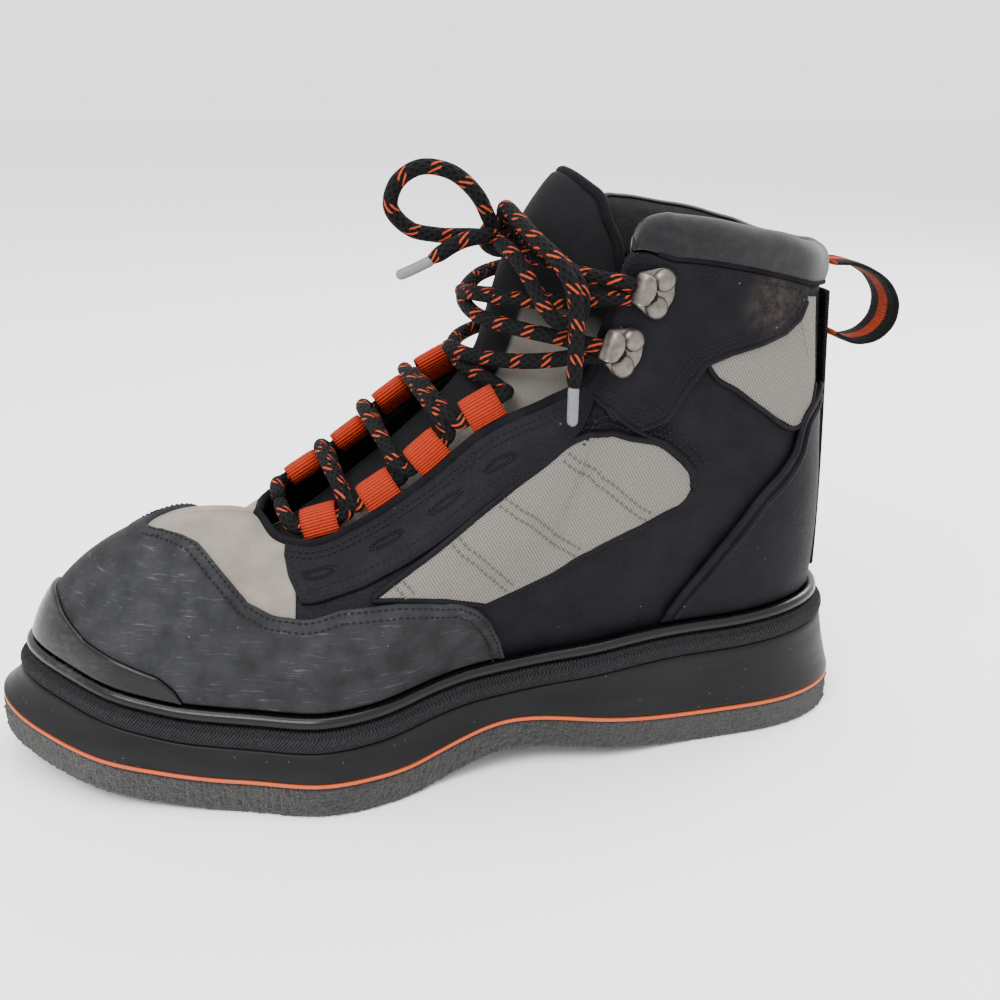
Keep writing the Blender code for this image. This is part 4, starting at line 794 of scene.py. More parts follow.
def finish_surface(tree, colour, roughness, height=None, depth=0.0002, **constants):
    """Principled surface with bump from a height."""
    inputs = {"Base Color": colour, "Roughness": roughness}
    if height is not None:
        bump = add_node(tree, "ShaderNodeBump", {"Height": height, "Distance": depth, "Strength": 1.0})
        inputs["Normal"] = bump.outputs[0]
    names = {"metal": "Metallic", "coat": "Coat Weight", "coat_rough": "Coat Roughness",
             "sheen": "Sheen Weight", "specular": "Specular IOR Level", "sheen_rough": "Sheen Roughness"}
    for key, value in constants.items():
        inputs[names[key]] = value
    shader = add_node(tree, "ShaderNodeBsdfPrincipled", inputs)
    add_node(tree, "ShaderNodeOutputMaterial", {0: shader.outputs[0]})


def spot(tree, place, centre, radius):
    """1 near a place on the boot, fading to 0 at a radius."""
    away = add_node(tree, "ShaderNodeVectorMath", {0: place, 1: centre},
                    operation="DISTANCE").outputs["Value"]
    return result(tree, "spread", away, radius, radius * 0.2)


def make_leather(name, dark, light, rough, grain=1100.0, grain_depth=0.00012, scratch=0.0, scuff=(),
                 scratch_turn=(0, 0, 0), dust=0.5):
    """Leather: cell grain about a millimetre wide, mottled colour, fine scratches, dust and scuffs."""
    tree, place, _ = start_material(name)
    mottle = result(tree, "noise", place, 90.0, 4.0)
    fine = result(tree, "noise", place, 900.0, 3.0)
    colour = result(tree, "blend", result(tree, "spread", mottle, 0.35, 0.72), linear(dark), linear(light))
    pebble = result(tree, "cells", place, grain)
    height = result(tree, "ADD", result(tree, "MULTIPLY", pebble, 0.8), result(tree, "MULTIPLY", fine, 0.5))
    roughness = result(tree, "spread", fine, 0.3, 0.7, rough - 0.06, rough + 0.08)
    if scratch:
        lines = result(tree, "noise", result(tree, "stretched", place, scratch_turn, (1.0, 1.0, 14.0)),
                       110.0, 5.0, 0.7)
        mask = result(tree, "MULTIPLY", result(tree, "spread", lines, 0.58, 0.72),
                      result(tree, "spread", mottle, 0.40, 0.62))
        colour = result(tree, "blend", result(tree, "MULTIPLY", mask, scratch), colour, linear("#85868a"))
        height = result(tree, "ADD", height, result(tree, "MULTIPLY", lines, 0.5))
    for centre, radius, tone, amount in scuff:
        rubbed = result(tree, "spread", result(tree, "noise", place, 240.0, 6.0, 0.7), 0.36, 0.70)
        mask = result(tree, "MULTIPLY", spot(tree, place, centre, radius), rubbed)
        colour = result(tree, "blend", result(tree, "MULTIPLY", mask, amount), colour, linear(tone))
    if dust:
        flecks = result(tree, "spread", result(tree, "cells", place, 210.0), 0.075, 0.035)
        flecks = result(tree, "MULTIPLY", flecks,
                        result(tree, "spread", result(tree, "noise", place, 60.0, 2.0), 0.50, 0.60))
        colour = result(tree, "blend", result(tree, "MULTIPLY", flecks, dust), colour, linear("#a5a4a6"))
    finish_surface(tree, colour, roughness, height, grain_depth, specular=0.10)


def make_materials():
    """All materials of the boot, each named for what it is."""
    # Needled felt: dark speckled grey with paler fibres and a fuzzy face
    tree, place, _ = start_material("sole_felt")
    fibre = result(tree, "noise", place, 1500.0, 5.0, 0.75)
    clump = result(tree, "noise", result(tree, "stretched", place, (0, 0, 0), (1, 1, 2.2)), 420.0, 4.0, 0.65)
    colour = result(tree, "blend", result(tree, "spread", fibre, 0.36, 0.66), linear("#131312"),
                    linear("#403e3a"))
    colour = result(tree, "blend", result(tree, "spread", clump, 0.42, 0.68, 0.0, 0.75), colour,
                    linear("#262523"))
    colour = result(tree, "blend", result(tree, "spread", result(tree, "cells", place, 700.0), 0.16, 0.05),
                    colour, linear("#7d7a72"))
    finish_surface(tree, colour, 1.0, result(tree, "ADD", fibre, clump), 0.0011, specular=0.1, sheen=0.25)

    # Thin bright layer over the felt
    tree, place, _ = start_material("orange_layer")
    tint = result(tree, "noise", place, 240.0, 3.0)
    finish_surface(tree, result(tree, "blend", tint, linear("#c64812"), linear("#dc6424")), 0.55, tint,
                   0.0002)

    # Moulded midsole rubber: smooth black with faint flow marks and dust
    tree, place, _ = start_material("midsole_rubber_black")
    flow = result(tree, "noise", result(tree, "stretched", place, (0, 0, 0), (0.5, 0.5, 3.0)), 60.0, 4.0)
    fine = result(tree, "noise", place, 1400.0, 2.0)
    colour = result(tree, "blend", result(tree, "spread", flow, 0.35, 0.7), linear("#0e0e10"),
                    linear("#19191c"))
    specks = result(tree, "spread", result(tree, "cells", place, 260.0), 0.07, 0.03, 0.0, 0.5)
    colour = result(tree, "blend", specks, colour, linear("#8d8d8f"))
    finish_surface(tree, colour, result(tree, "spread", flow, 0.3, 0.7, 0.42, 0.56), fine, 0.00006,
                   specular=0.16)

    # Rough welt strip with fine diagonal hatching, its grooves painted darker as painted shade
    tree, place, uv = start_material("welt_hatched_grey")
    axis = add_node(tree, "ShaderNodeSeparateXYZ", {0: uv})
    slant = result(tree, "ADD", axis.outputs[0], result(tree, "MULTIPLY", axis.outputs[1], 0.9))
    hatch = result(tree, "SINE", result(tree, "MULTIPLY", slant, 2 * math.pi / 0.00125))
    crumb = result(tree, "noise", place, 1300.0, 3.0, 0.7)
    # Painted shade: the colour follows the hatch relief, dark in its grooves and paler on its ridges
    colour = result(tree, "blend", result(tree, "spread", hatch, -0.6, 0.8), linear("#161618"),
                    linear("#323235"))
    colour = result(tree, "blend", result(tree, "spread", crumb, 0.45, 0.7, 0.0, 0.5), colour,
                    linear("#454548"))
    finish_surface(tree, colour, 0.88, result(tree, "ADD", hatch, crumb), 0.00016, specular=0.10)

    # Glossy rubber of the piping and the toe bumper, with pale scuffs at the bumper's front
    tree, place, _ = start_material("gloss_rubber_black")
    fine = result(tree, "noise", place, 500.0, 3.0)
    worn = result(tree, "noise", result(tree, "stretched", place, (0, 0, 0.4), (1, 1, 4)), 160.0, 5.0, 0.7)
    front = spot(tree, place, (-0.262, -0.022, 0.045), 0.040)
    mask = result(tree, "MULTIPLY", front, result(tree, "spread", worn, 0.50, 0.66, 0.0, 0.45))
    colour = result(tree, "blend", mask, linear("#0b0b0d"), linear("#4e4f52"))
    shine = result(tree, "spread", fine, 0.3, 0.7, 0.20, 0.32)
    roughness = result(tree, "ADD", shine, result(tree, "MULTIPLY", mask, 0.35))
    finish_surface(tree, colour, roughness, fine, 0.00005, specular=0.22, coat=0.05, coat_rough=0.12)

    # Black synthetic leather of the quarter, wings, eyestays and counter, with a brown scuff on the wing
    make_leather("leather_black", "#0f0d13", "#19171e", 0.60,
                 scuff=[((-0.001, -0.0365, 0.167), 0.0155, "#62564a", 0.52),
                        ((0.020, -0.05, 0.10), 0.02, "#4a4a50", 0.4)])
    # Charcoal cap leather with brushed scratches from lower left to upper right
    make_leather("leather_cap", "#28292a", "#3b3b3e", 0.72, grain=1500.0, grain_depth=0.00008, scratch=0.55,
                 scratch_turn=(0, 0.55, 0), scuff=[((-0.225, -0.035, 0.055), 0.040, "#55565b", 0.22)],
                 dust=0.35)
    # Smooth warm grey leather of the vamp
    make_leather("leather_grey", "#8a8178", "#9d948b", 0.62, grain=1700.0, grain_depth=0.00006,
                 scuff=[((-0.150, -0.01, 0.095), 0.03, "#8b837c", 0.3)], dust=0.0)
    # Suede binding tape round the throat and edges
    make_leather("binding_suede", "#0f0e12", "#1c1b20", 0.92, grain=2600.0, grain_depth=0.00014, dust=0.25)

    # Coarse twill of the grey side and ankle panels: threads about a millimetre wide crossing at a slant,
    # painted darker where they dip as painted shade between the threads
    tree, place, _ = start_material("weave_grey")
    axis = add_node(tree, "ShaderNodeSeparateXYZ", {0: place})
    across = result(tree, "MULTIPLY", axis.outputs[0], 2 * math.pi / 0.00115)
    upward = result(tree, "MULTIPLY", axis.outputs[2], 2 * math.pi / 0.00100)
    wobble = result(tree, "MULTIPLY", result(tree, "noise", place, 700.0, 2.0), 1.4)
    slant = result(tree, "ADD", across, result(tree, "MULTIPLY", upward, 0.5))
    warp = result(tree, "SINE", result(tree, "ADD", slant, wobble))
    weft = result(tree, "SINE", result(tree, "SUBTRACT", upward, result(tree, "MULTIPLY", across, 0.5)))
    crossing = result(tree, "MULTIPLY", warp, weft)
    weave = result(tree, "ADD", result(tree, "MULTIPLY", warp, 0.6), result(tree, "MULTIPLY", crossing, 0.6))
    tone = result(tree, "noise", place, 260.0, 4.0, 0.7)
    # Painted shade: the colour follows the weave's relief, darkest between the threads
    colour = result(tree, "blend", result(tree, "spread", weave, -0.8, 0.8), linear("#6d6861"),
                    linear("#a5a098"))
    colour = result(tree, "blend", result(tree, "spread", tone, 0.4, 0.7, 0.0, 0.35), colour,
                    linear("#88837c"))
    finish_surface(tree, colour, 0.92, weave, 0.00022, specular=0.2)

    # Brushed charcoal nubuck of the collar, paler toward the heel
    tree, place, _ = start_material("collar_nubuck")
    nap = result(tree, "noise", place, 260.0, 5.0, 0.7)
    hair = result(tree, "noise", place, 2600.0, 2.0)
    axis = add_node(tree, "ShaderNodeSeparateXYZ", {0: place})
    back = result(tree, "spread", axis.outputs[0], -0.020, 0.050, 0.0, 0.30)
    colour = result(tree, "blend", back, linear("#17171a"), linear("#2f3033"))
    colour = result(tree, "blend", result(tree, "spread", nap, 0.45, 0.75, 0.0, 0.30), colour,
                    linear("#404144"))
    height = result(tree, "ADD", nap, hair)
    finish_surface(tree, colour, 0.95, height, 0.00014, sheen=0.2, sheen_rough=0.5, specular=0.2)

    # Knitted lining inside the boot
    tree, place, _ = start_material("lining_dark")
    knit = result(tree, "cells", place, 800.0)
    colour = result(tree, "blend", result(tree, "spread", knit, 0.1, 0.6), linear("#141416"),
                    linear("#2a2a2d"))
    finish_surface(tree, colour, 0.95, knit, 0.0003, specular=0.15)

    # Tongue: black coated fabric in the middle, pale grey gusset fabric low at its sides
    tree, place, uv = start_material("tongue_fabric")
    axis = add_node(tree, "ShaderNodeSeparateXYZ", {0: uv})
    fold = result(tree, "noise", place, 140.0, 3.0)
    grain = result(tree, "cells", place, 1500.0)
    edge = result(tree, "ABSOLUTE", axis.outputs[0])
    low = result(tree, "spread", axis.outputs[1], 0.70, 0.62)
    grey = result(tree, "MULTIPLY", result(tree, "spread", edge, 0.50, 0.54), low)
    black = result(tree, "blend", fold, linear("#0f0f12"), linear("#1c1c20"))
    pale = result(tree, "blend", fold, linear("#7d7871"), linear("#958f87"))
    colour = result(tree, "blend", grey, black, pale)
    height = result(tree, "ADD", result(tree, "MULTIPLY", grain, 0.6), fold)
    finish_surface(tree, colour, 0.8, height, 0.00022, specular=0.12)

    # Grosgrain webbing of the lace loops: ribs a millimetre apart, the grooves between them darkened as
    # painted shade
    tree, place, uv = start_material("webbing_orange")
    axis = add_node(tree, "ShaderNodeSeparateXYZ", {0: uv})
    ribs = result(tree, "SINE", result(tree, "MULTIPLY", axis.outputs[1], 2 * math.pi / 0.00105))
    thread = result(tree, "SINE", result(tree, "MULTIPLY", axis.outputs[0], 2 * math.pi / 0.00055))
    fuzz = result(tree, "noise", place, 1500.0, 3.0)
    # Painted shade: the colour follows the rib relief, dark in the grooves between the ribs
    colour = result(tree, "blend", result(tree, "spread", ribs, -0.9, 0.6), linear("#8e1f0a"),
                    linear("#cf3a16"))
    colour = result(tree, "blend", result(tree, "spread", fuzz, 0.45, 0.7, 0.0, 0.25), colour,
                    linear("#d8502a"))
    height = result(tree, "ADD", ribs, result(tree, "MULTIPLY", thread, 0.3))
    finish_surface(tree, colour, 0.85, height, 0.00022, specular=0.15)

    # Black webbing with an orange stripe along its middle, its rib grooves darkened as painted shade
    tree, place, uv = start_material("webbing_striped")
    axis = add_node(tree, "ShaderNodeSeparateXYZ", {0: uv})
    ribs = result(tree, "SINE", result(tree, "MULTIPLY", axis.outputs[1], 2 * math.pi / 0.0011))
    thread = result(tree, "SINE", result(tree, "MULTIPLY", axis.outputs[0], 2 * math.pi / 0.0008))
    stripe = result(tree, "spread", result(tree, "ABSOLUTE", axis.outputs[0]), 0.0036, 0.0031)
    colour = result(tree, "blend", stripe, linear("#0b0b0c"), linear("#cc441c"))
    # Painted shade: the grooves between the ribs are drawn darker, mostly seen on the orange stripe
    colour = result(tree, "blend", result(tree, "spread", ribs, -0.9, 0.9, 0.35, 0.0), colour,
                    linear("#0c0c0d"))
    height = result(tree, "ADD", ribs, result(tree, "MULTIPLY", thread, 0.5))
    finish_surface(tree, colour, 0.85, height, 0.0002, specular=0.15)

    # Plain black webbing of the heel strip, its rib grooves painted darker as painted shade
    tree, place, uv = start_material("webbing_black")
    axis = add_node(tree, "ShaderNodeSeparateXYZ", {0: uv})
    ribs = result(tree, "SINE", result(tree, "MULTIPLY", axis.outputs[1], 2 * math.pi / 0.0011))
    # Painted shade: the colour follows the rib relief, darker in the grooves than on the rib tops
    colour = result(tree, "blend", result(tree, "spread", ribs, -0.9, 0.9), linear("#0b0b0c"),
                    linear("#1b1b1d"))
    finish_surface(tree, colour, 0.85, ribs, 0.00018, specular=0.12)

    # Dull nickel of hooks and rivets
    tree, place, _ = start_material("metal_pewter")
    cast = result(tree, "noise", place, 420.0, 4.0)
    colour = result(tree, "blend", result(tree, "spread", cast, 0.3, 0.75), linear("#6c655f"),
                    linear("#938b85"))
    finish_surface(tree, colour, result(tree, "spread", cast, 0.3, 0.7, 0.30, 0.46), cast, 0.00008, metal=0.9)

    # Braided lace with short orange flecks, the dips between its strands painted darker as painted shade
    tree, place, uv = start_material("lace_braid")
    axis = add_node(tree, "ShaderNodeSeparateXYZ", {0: uv})
    round_lace = result(tree, "MULTIPLY", axis.outputs[0], 2 * math.pi * 7)
    along = result(tree, "MULTIPLY", axis.outputs[1], 2 * math.pi / 0.0036)
    one = result(tree, "SINE", result(tree, "ADD", round_lace, along))
    two = result(tree, "SINE", result(tree, "SUBTRACT", round_lace, along))
    braid = result(tree, "MAXIMUM", one, two)
    wound = result(tree, "ADD", axis.outputs[1], result(tree, "MULTIPLY", axis.outputs[0], 0.0055))
    beat = result(tree, "FRACT", result(tree, "MULTIPLY", wound, 1 / 0.0115))
    mask = result(tree, "MULTIPLY", result(tree, "spread", beat, 0.30, 0.27),
                  result(tree, "spread", one, 0.25, 0.55))
    # Painted shade: the colour follows the braid relief, darker between the strands than on their crowns
    colour = result(tree, "blend", result(tree, "spread", braid, -0.2, 1.0), linear("#060607"),
                    linear("#151517"))
    colour = result(tree, "blend", mask, colour, linear("#c24a26"))
    finish_surface(tree, colour, 0.85, braid, 0.00028, specular=0.12)

    # Grey moulded lace tips
    tree, place, _ = start_material("lace_tip_grey")
    fine = result(tree, "noise", place, 700.0, 2.0)
    colour = result(tree, "blend", fine, linear("#6f7377"), linear("#8b8f93"))
    finish_surface(tree, colour, 0.42, fine, 0.00004, specular=0.3)

    # Threads: olive grey on the pale panels, black elsewhere, beige at the ankle
    for name, dark, light in (("thread_olive", "#55534a", "#77746a"), ("thread_black", "#0f0f11", "#2c2c30"),
                              ("thread_beige", "#8c7f70", "#b0a392")):
        tree, place, _ = start_material(name)
        twist = result(tree, "noise", place, 2400.0, 2.0)
        colour = result(tree, "blend", twist, linear(dark), linear(light))
        finish_surface(tree, colour, 0.8, twist, 0.0001, specular=0.12)

    # Pale studio floor
    tree, place, _ = start_material("floor_pale")
    tone = result(tree, "noise", place, 3.0, 2.0)
    colour = result(tree, "blend", tone, (0.93, 0.93, 0.93, 1.0), (0.95, 0.95, 0.95, 1.0))
    finish_surface(tree, colour, 0.8)


# Stage

CAMERA_PLACE = (-0.2052, -0.4505, 0.2503)
CAMERA_RIGHT = (0.9704, -0.241, 0.0176)
CAMERA_UP = (0.0635, 0.3248, 0.9436)
CAMERA_FORWARD = (0.2331, 0.9146, -0.3305)
LIGHTS = [
    ("key", (-0.75, -0.75, 1.15), (-0.1, 0, 0.08), 0.7, 20.0),
    ("rim", (0.9, 0.55, 0.95), (-0.05, 0, 0.1), 0.6, 14.0),
    ("top", (-0.1, 0.1, 1.4), (-0.1, 0, 0), 0.9, 12.0),
]


def build_stage():
    """Camera at the photo's angle, pale floor, soft light."""
    scene = bpy.context.scene
    camera = bpy.data.objects.new("camera", bpy.data.cameras.new("camera"))
    scene.collection.objects.link(camera)
    camera.data.lens, camera.data.sensor_width = 46.8, 36.0
    camera.data.clip_start = 0.01
    turn = Matrix((CAMERA_RIGHT, CAMERA_UP, -Vector(CAMERA_FORWARD))).transposed().to_4x4()
    camera.matrix_world = Matrix.Translation(CAMERA_PLACE) @ turn
    scene.camera = camera
    floor = bpy.data.meshes.new("floor")
    floor.from_pydata([(-4, -4, 0), (4, -4, 0), (4, 4, 0), (-4, 4, 0)], [], [(0, 1, 2, 3)])
    floor.materials.append(bpy.data.materials["floor_pale"])
    body = bpy.data.objects.new("floor", floor)
    scene.collection.objects.link(body)
    world = scene.world or bpy.data.worlds.new("studio")
    scene.world = world
    world.use_nodes = True
    world.node_tree.nodes["Background"].inputs[0].default_value = (1.0, 1.0, 1.0, 1.0)
    world.node_tree.nodes["Background"].inputs[1].default_value = 2.0
    for name, place, target, size, power in LIGHTS:
        light = bpy.data.lights.new(name, "AREA")
        light.energy, light.size = power, size
        lamp = bpy.data.objects.new(name, light)
        aim = (Vector(target) - Vector(place)).to_track_quat("-Z", "Y")
        lamp.matrix_world = Matrix.Translation(place) @ aim.to_matrix().to_4x4()
        scene.collection.objects.link(lamp)


# Lace

def loop_ends(side, number):
    """Places and directions where the lace enters and leaves a loop."""
    place, toe, top, out = loop_frame(LOOPS[side][number], side)
    hole = place + top * (LOOP_REACH * LOOP_HOLE[0]) + out * (LOOP_REACH * LOOP_HOLE[1])
    lean = (top * 0.4 + out).normalized()
    reach = LOOP_WIDTH / 2 + LACE_SET_OFF
    ends = {d: (np.array(hole + toe * d * reach), np.array(toe) * d, np.array(lean)) for d in (1, -1)}
    return ends, np.array(hole)


def stretch(start, finish, hump):
    """Cubic stretch of lace between two loop ends, humped over the tongue."""
    (p0, d0, up0), (p3, d3, up3) = start, finish
    p1, p2 = p0 + d0 * LACE_LEAD + up0 * hump, p3 + d3 * LACE_LEAD + up3 * hump
    return [(1 - t) ** 3 * p0 + 3 * t * (1 - t) ** 2 * p1 + 3 * t * t * (1 - t) * p2 + t ** 3 * p3
            for t in np.linspace(0, 1, 9)]


def hook_turn(side, level):
    """Point at the back of a hook's bend, where the lace turns round it."""
    spots = {name: (high, low) for name, high, low in HOOKS}[level]
    ends = [surface_frame(spot[0], side, spot[1], 0.0045) for spot in spots]
    middle = (ends[0][0] + ends[1][0]) / 2
    return np.array(middle) + np.array([-0.0035, 0, 0])


def build_lace():
    """Lace through loops and hooks to the knot, then bow, ends and tips."""
    for name, first in (("lace_one", OUTER), ("lace_two", INNER)):
        side = first
        ends, hole = loop_ends(first, 0)
        opposite, _ = loop_ends(-first, 0)
        bar = stretch(opposite[1], ends[1], BAR_HUMP)
        route = bar[4:] + [hole]
        for number in range(3):
            here, _ = loop_ends(side, number)
            there, hole = loop_ends(-side, number + 1)
            hump = CROSS_HUMP + (0.0052 if side == OUTER else -0.0003)
            route += stretch(here[-1], there[1], hump) + [hole]
            side = -side
        if first == OUTER:
            legs = [TO_LOWER_OUTER, TO_UPPER_INNER, STRAND_INNER]
            turns = [hook_turn(OUTER, "lower"), hook_turn(INNER, "upper")]
        else:
            legs = [TO_LOWER_INNER, TO_UPPER_OUTER, STRAND_OUTER]
            turns = [hook_turn(INNER, "lower"), hook_turn(OUTER, "upper")]
        ends, _ = loop_ends(side, 3)
        route += [ends[-1][0] + 0.3 * (np.array(legs[0][0]) - ends[-1][0])]
        for leg, turn in zip(legs, turns + [None]):
            route += [np.array(p) for p in leg]
            if turn is not None:
                route.append(turn)
        nodes = ["lace_bar", "lace_cross_1", "lace_cross_2", "lace_strand_inner"] if first == OUTER else [
            "lace_cross_3", "lace_cross_4", "lace_cross_5", "lace_strand_outer"]
        add_piece(tube_mesh(name, smooth_route(route), LACE_RADIUS, 14), "lace_braid", nodes)
    knot = []
    centre = np.array(KNOT_CENTRE)
    for turn in np.linspace(0, 1.5 * 2 * math.pi, 40):
        knot.append(centre + np.array([0.0042 * math.cos(turn),
                                       0.0030 * math.sin(2 * turn + 0.4) * 0.9 + 0.0010,
                                       0.0046 * math.sin(turn)]))
    knot_piece = add_piece(tube_mesh("knot_wrap", smooth_route(knot), LACE_RADIUS * 1.05, 14), "lace_braid",
                           ["lace_knot"])
    for name, route, start in (("left", END_LEFT, 5), ("right", END_RIGHT, 9)):
        path = smooth_route(route[start:])
        longer = np.concatenate([path[:1] - 0.0030 * unit(path[1] - path[0]), path])
        along, _ = along_path(longer, spacing=0.0003)
        add_piece(tube_mesh("tip_" + name, along, AGLET_RADIUS * 1.12, 16, 0.0003),
                               "lace_tip_grey", ["aglet_" + name])
    for name, route, node, far, extra in (
            ("bow_left", BOW_LEFT, "bow_loop_left", "object", ()),
            ("bow_right", BOW_RIGHT, "bow_loop_right", "object", ()),
            ("end_left", END_LEFT[:6], "lace_end_left", "fitting", ("left",)),
            ("end_right", END_RIGHT[:10], "lace_end_right", "fitting", ("right",))):
        path = smooth_route(route)
        shape = tube_mesh(name, path, LACE_RADIUS, 14, taper=0.006 if extra else 0.0)
        piece = add_piece(shape, "lace_braid", [node])


# Sole

def perimeter(stations, draft, inset):
    """Closed ring of points round the sole, its draft and inset measured inward."""
    turn = np.linspace(0, math.pi, stations + 1)
    inward = draft * wall_draft((1 - np.cos(turn)) / 2) + inset
    x0, y0, _, _ = inset_outline(turn, OUTER, inward)
    x1, y1, _, _ = inset_outline(turn[1:-1][::-1], INNER, inward[1:-1][::-1])
    return np.concatenate([x0, x1]), np.concatenate([y0, y1])


def sole_mesh(name, rings, stations=240, hollow=False, push=None):
    """Rings of the outline stacked by draft, inset and height, closed by ladders of faces or on itself."""
    rows = []
    for draft, inset, height in rings:
        x, y = perimeter(stations, draft, inset)
        rows.append(np.stack([x, y, height(x)], axis=-1))
    grid = np.array(rows)
    if push is not None:
        centre = grid.mean(axis=1, keepdims=True)
        flat = grid - centre
        flat[..., 2] = 0
        grid = grid + unit(flat) * push[..., None]
    count = 2 * stations
    step = np.linalg.norm(np.diff(np.concatenate([grid[0], grid[0][:1]]), axis=0), axis=1)
    u = np.concatenate([[0], np.cumsum(step)])[None].repeat(len(rings) + hollow, axis=0)
    v = np.concatenate([grid[..., 2], grid[:, :1, 2]], axis=1)
    if hollow:
        v = np.concatenate([v, v[:1]])
    caps = []
    if not hollow:
        for first in (0, (len(rings) - 1) * count):
            for i in range(stations):
                rung = (first + i, first + i + 1, first + (count - i - 1) % count,
                        first + (count - i) % count)
                corners = list(dict.fromkeys(rung))
                if len(corners) > 2:
                    caps.append(corners)
    return outward(lattice(name, grid, (hollow, True), np.stack([u, v], axis=-1), caps))


def above(height, rise):
    """Height function raised by a fixed amount."""
    return lambda x: height(x) + rise


FELT_STATIONS = 1100


def build_sole(settings):
    """Felt, bright layer, midsole, welt strip and piping."""
    rng = np.random.default_rng(settings.seed)
    low = above(floor_height, FELT_THICKNESS + GAP)
    high = above(low, LINE_THICKNESS - 2 * GAP)
    levels = np.linspace(0, 1, 12)
    rings = [(0, 0.0012, above(floor_height, 0.0)), (0, 0.0005, above(floor_height, 0.0003))]
    rings += [(0, 0, above(floor_height, 0.0010 + (FELT_THICKNESS - 0.0013) * t)) for t in levels]
    rings += [(0, 0.0007, above(floor_height, FELT_THICKNESS))]
    rough = rng.normal(0, 1, (len(rings), FELT_STATIONS * 2))
    rough = (rough + np.roll(rough, 1, 1) + np.roll(rough, 1, 0)) / 2.2
    rough[:1] = rough[-1:] = 0
    felt = sole_mesh("felt", rings, FELT_STATIONS, push=(rough - 0.8) * settings.felt_fuzz)
    add_piece(felt, "sole_felt", ["felt_outsole"])
    rings = [(0, 0.0003, low), (0, 0, above(low, 0.0002)), (0, 0, above(high, -0.0002)), (0, 0.0003, high)]
    add_piece(sole_mesh("bright_layer", rings), "orange_layer", ["sole_line"])
    plateau = STRIP_WIDTH + GAP
    start = above(high, GAP)

    def wall(t):
        return lambda x: start(x) * (1 - t) + wall_top(x) * t
    rings = [(0, 0.0006, start), (0.0, 0.0001, wall(0.03))]
    for t in np.linspace(0.07, 0.93, 14):
        rings.append((t + 0.10 * math.sin(math.pi * t), 0.0, wall(t)))
    rings += [(1, 0.0002, wall(0.98)), (1, 0.0009, wall_top), (1, plateau, wall_top)]
    rings += [(1, plateau, above(seat_height, -GAP))]
    add_piece(sole_mesh("midsole_body", rings), "midsole_rubber_black", ["midsole"])
    low_strip, high_strip = above(wall_top, GAP), above(wall_top, GAP + STRIP_HEIGHT)
    profile = [(0.0004, low_strip), (0.0, above(low_strip, 0.0004))]
    for t in (0.25, 0.5, 0.75):
        profile.append((-0.0006 * math.sin(math.pi * t),
                        above(low_strip, 0.0004 + (STRIP_HEIGHT - 0.0008) * t)))
    profile += [(0.0001, above(high_strip, -0.0004)), (0.0005, high_strip), (LEDGE_WIDTH, high_strip),
                (LEDGE_WIDTH + 0.0004, above(high_strip, LEDGE_RISE)),
                (STRIP_WIDTH, above(high_strip, LEDGE_RISE)),
                (STRIP_WIDTH, low_strip)]
    band = sole_mesh("welt_band", [(1, *p) for p in profile], hollow=True)
    add_piece(band, "welt_hatched_grey", ["welt_strip"])
    middle = above(seat_height, PIPING_RADIUS)
    ring = [(1, PIPING_INSET + PIPING_RADIUS * math.cos(c), above(middle, PIPING_RADIUS * math.sin(c)))
            for c in np.linspace(0, 2 * math.pi, 16, endpoint=False)]
    add_piece(sole_mesh("piping", ring, hollow=True), "gloss_rubber_black", ["welt_piping"])
    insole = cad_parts["insole"]
    insole.data.materials.clear()
    insole.data.materials.append(bpy.data.materials["lining_dark"])


# Upper

def build_shell():
    """Upper shell: the creased face and, a wall's thickness inside it, its lining, joined at rim and foot."""
    round_foot = np.linspace(-math.pi, math.pi, SHELL_COLUMNS, endpoint=False)
    h, a = np.meshgrid(np.linspace(0, 1, SHELL_ROWS), round_foot, indexing="ij")
    face, lining = skin(a, h, -SHELL_INSET), skin(a, h, -UPPER_WALL)
    drop = np.array([0, 0, SKIRT_HEIGHT])
    grid = np.concatenate([face[:1] - drop, face, lining[::-1], lining[:1] - drop])
    mesh = lattice("upper_shell", grid, (True, True))
    inside = np.arange(len(mesh.polygons)) // SHELL_COLUMNS > SHELL_ROWS
    mesh.polygons.foreach_set("material_index", inside.astype(np.int32))
    add_piece(outward(mesh, WELD), ["leather_black", "lining_dark"], ["upper"])


def level(height):
    """Height curve that is the same at every share."""
    return lambda share: height + 0 * share


def span(first, last, side):
    """Parameters of two shares on one side, the lower first."""
    return sorted(float(angle(share, side)) for share in (first, last))


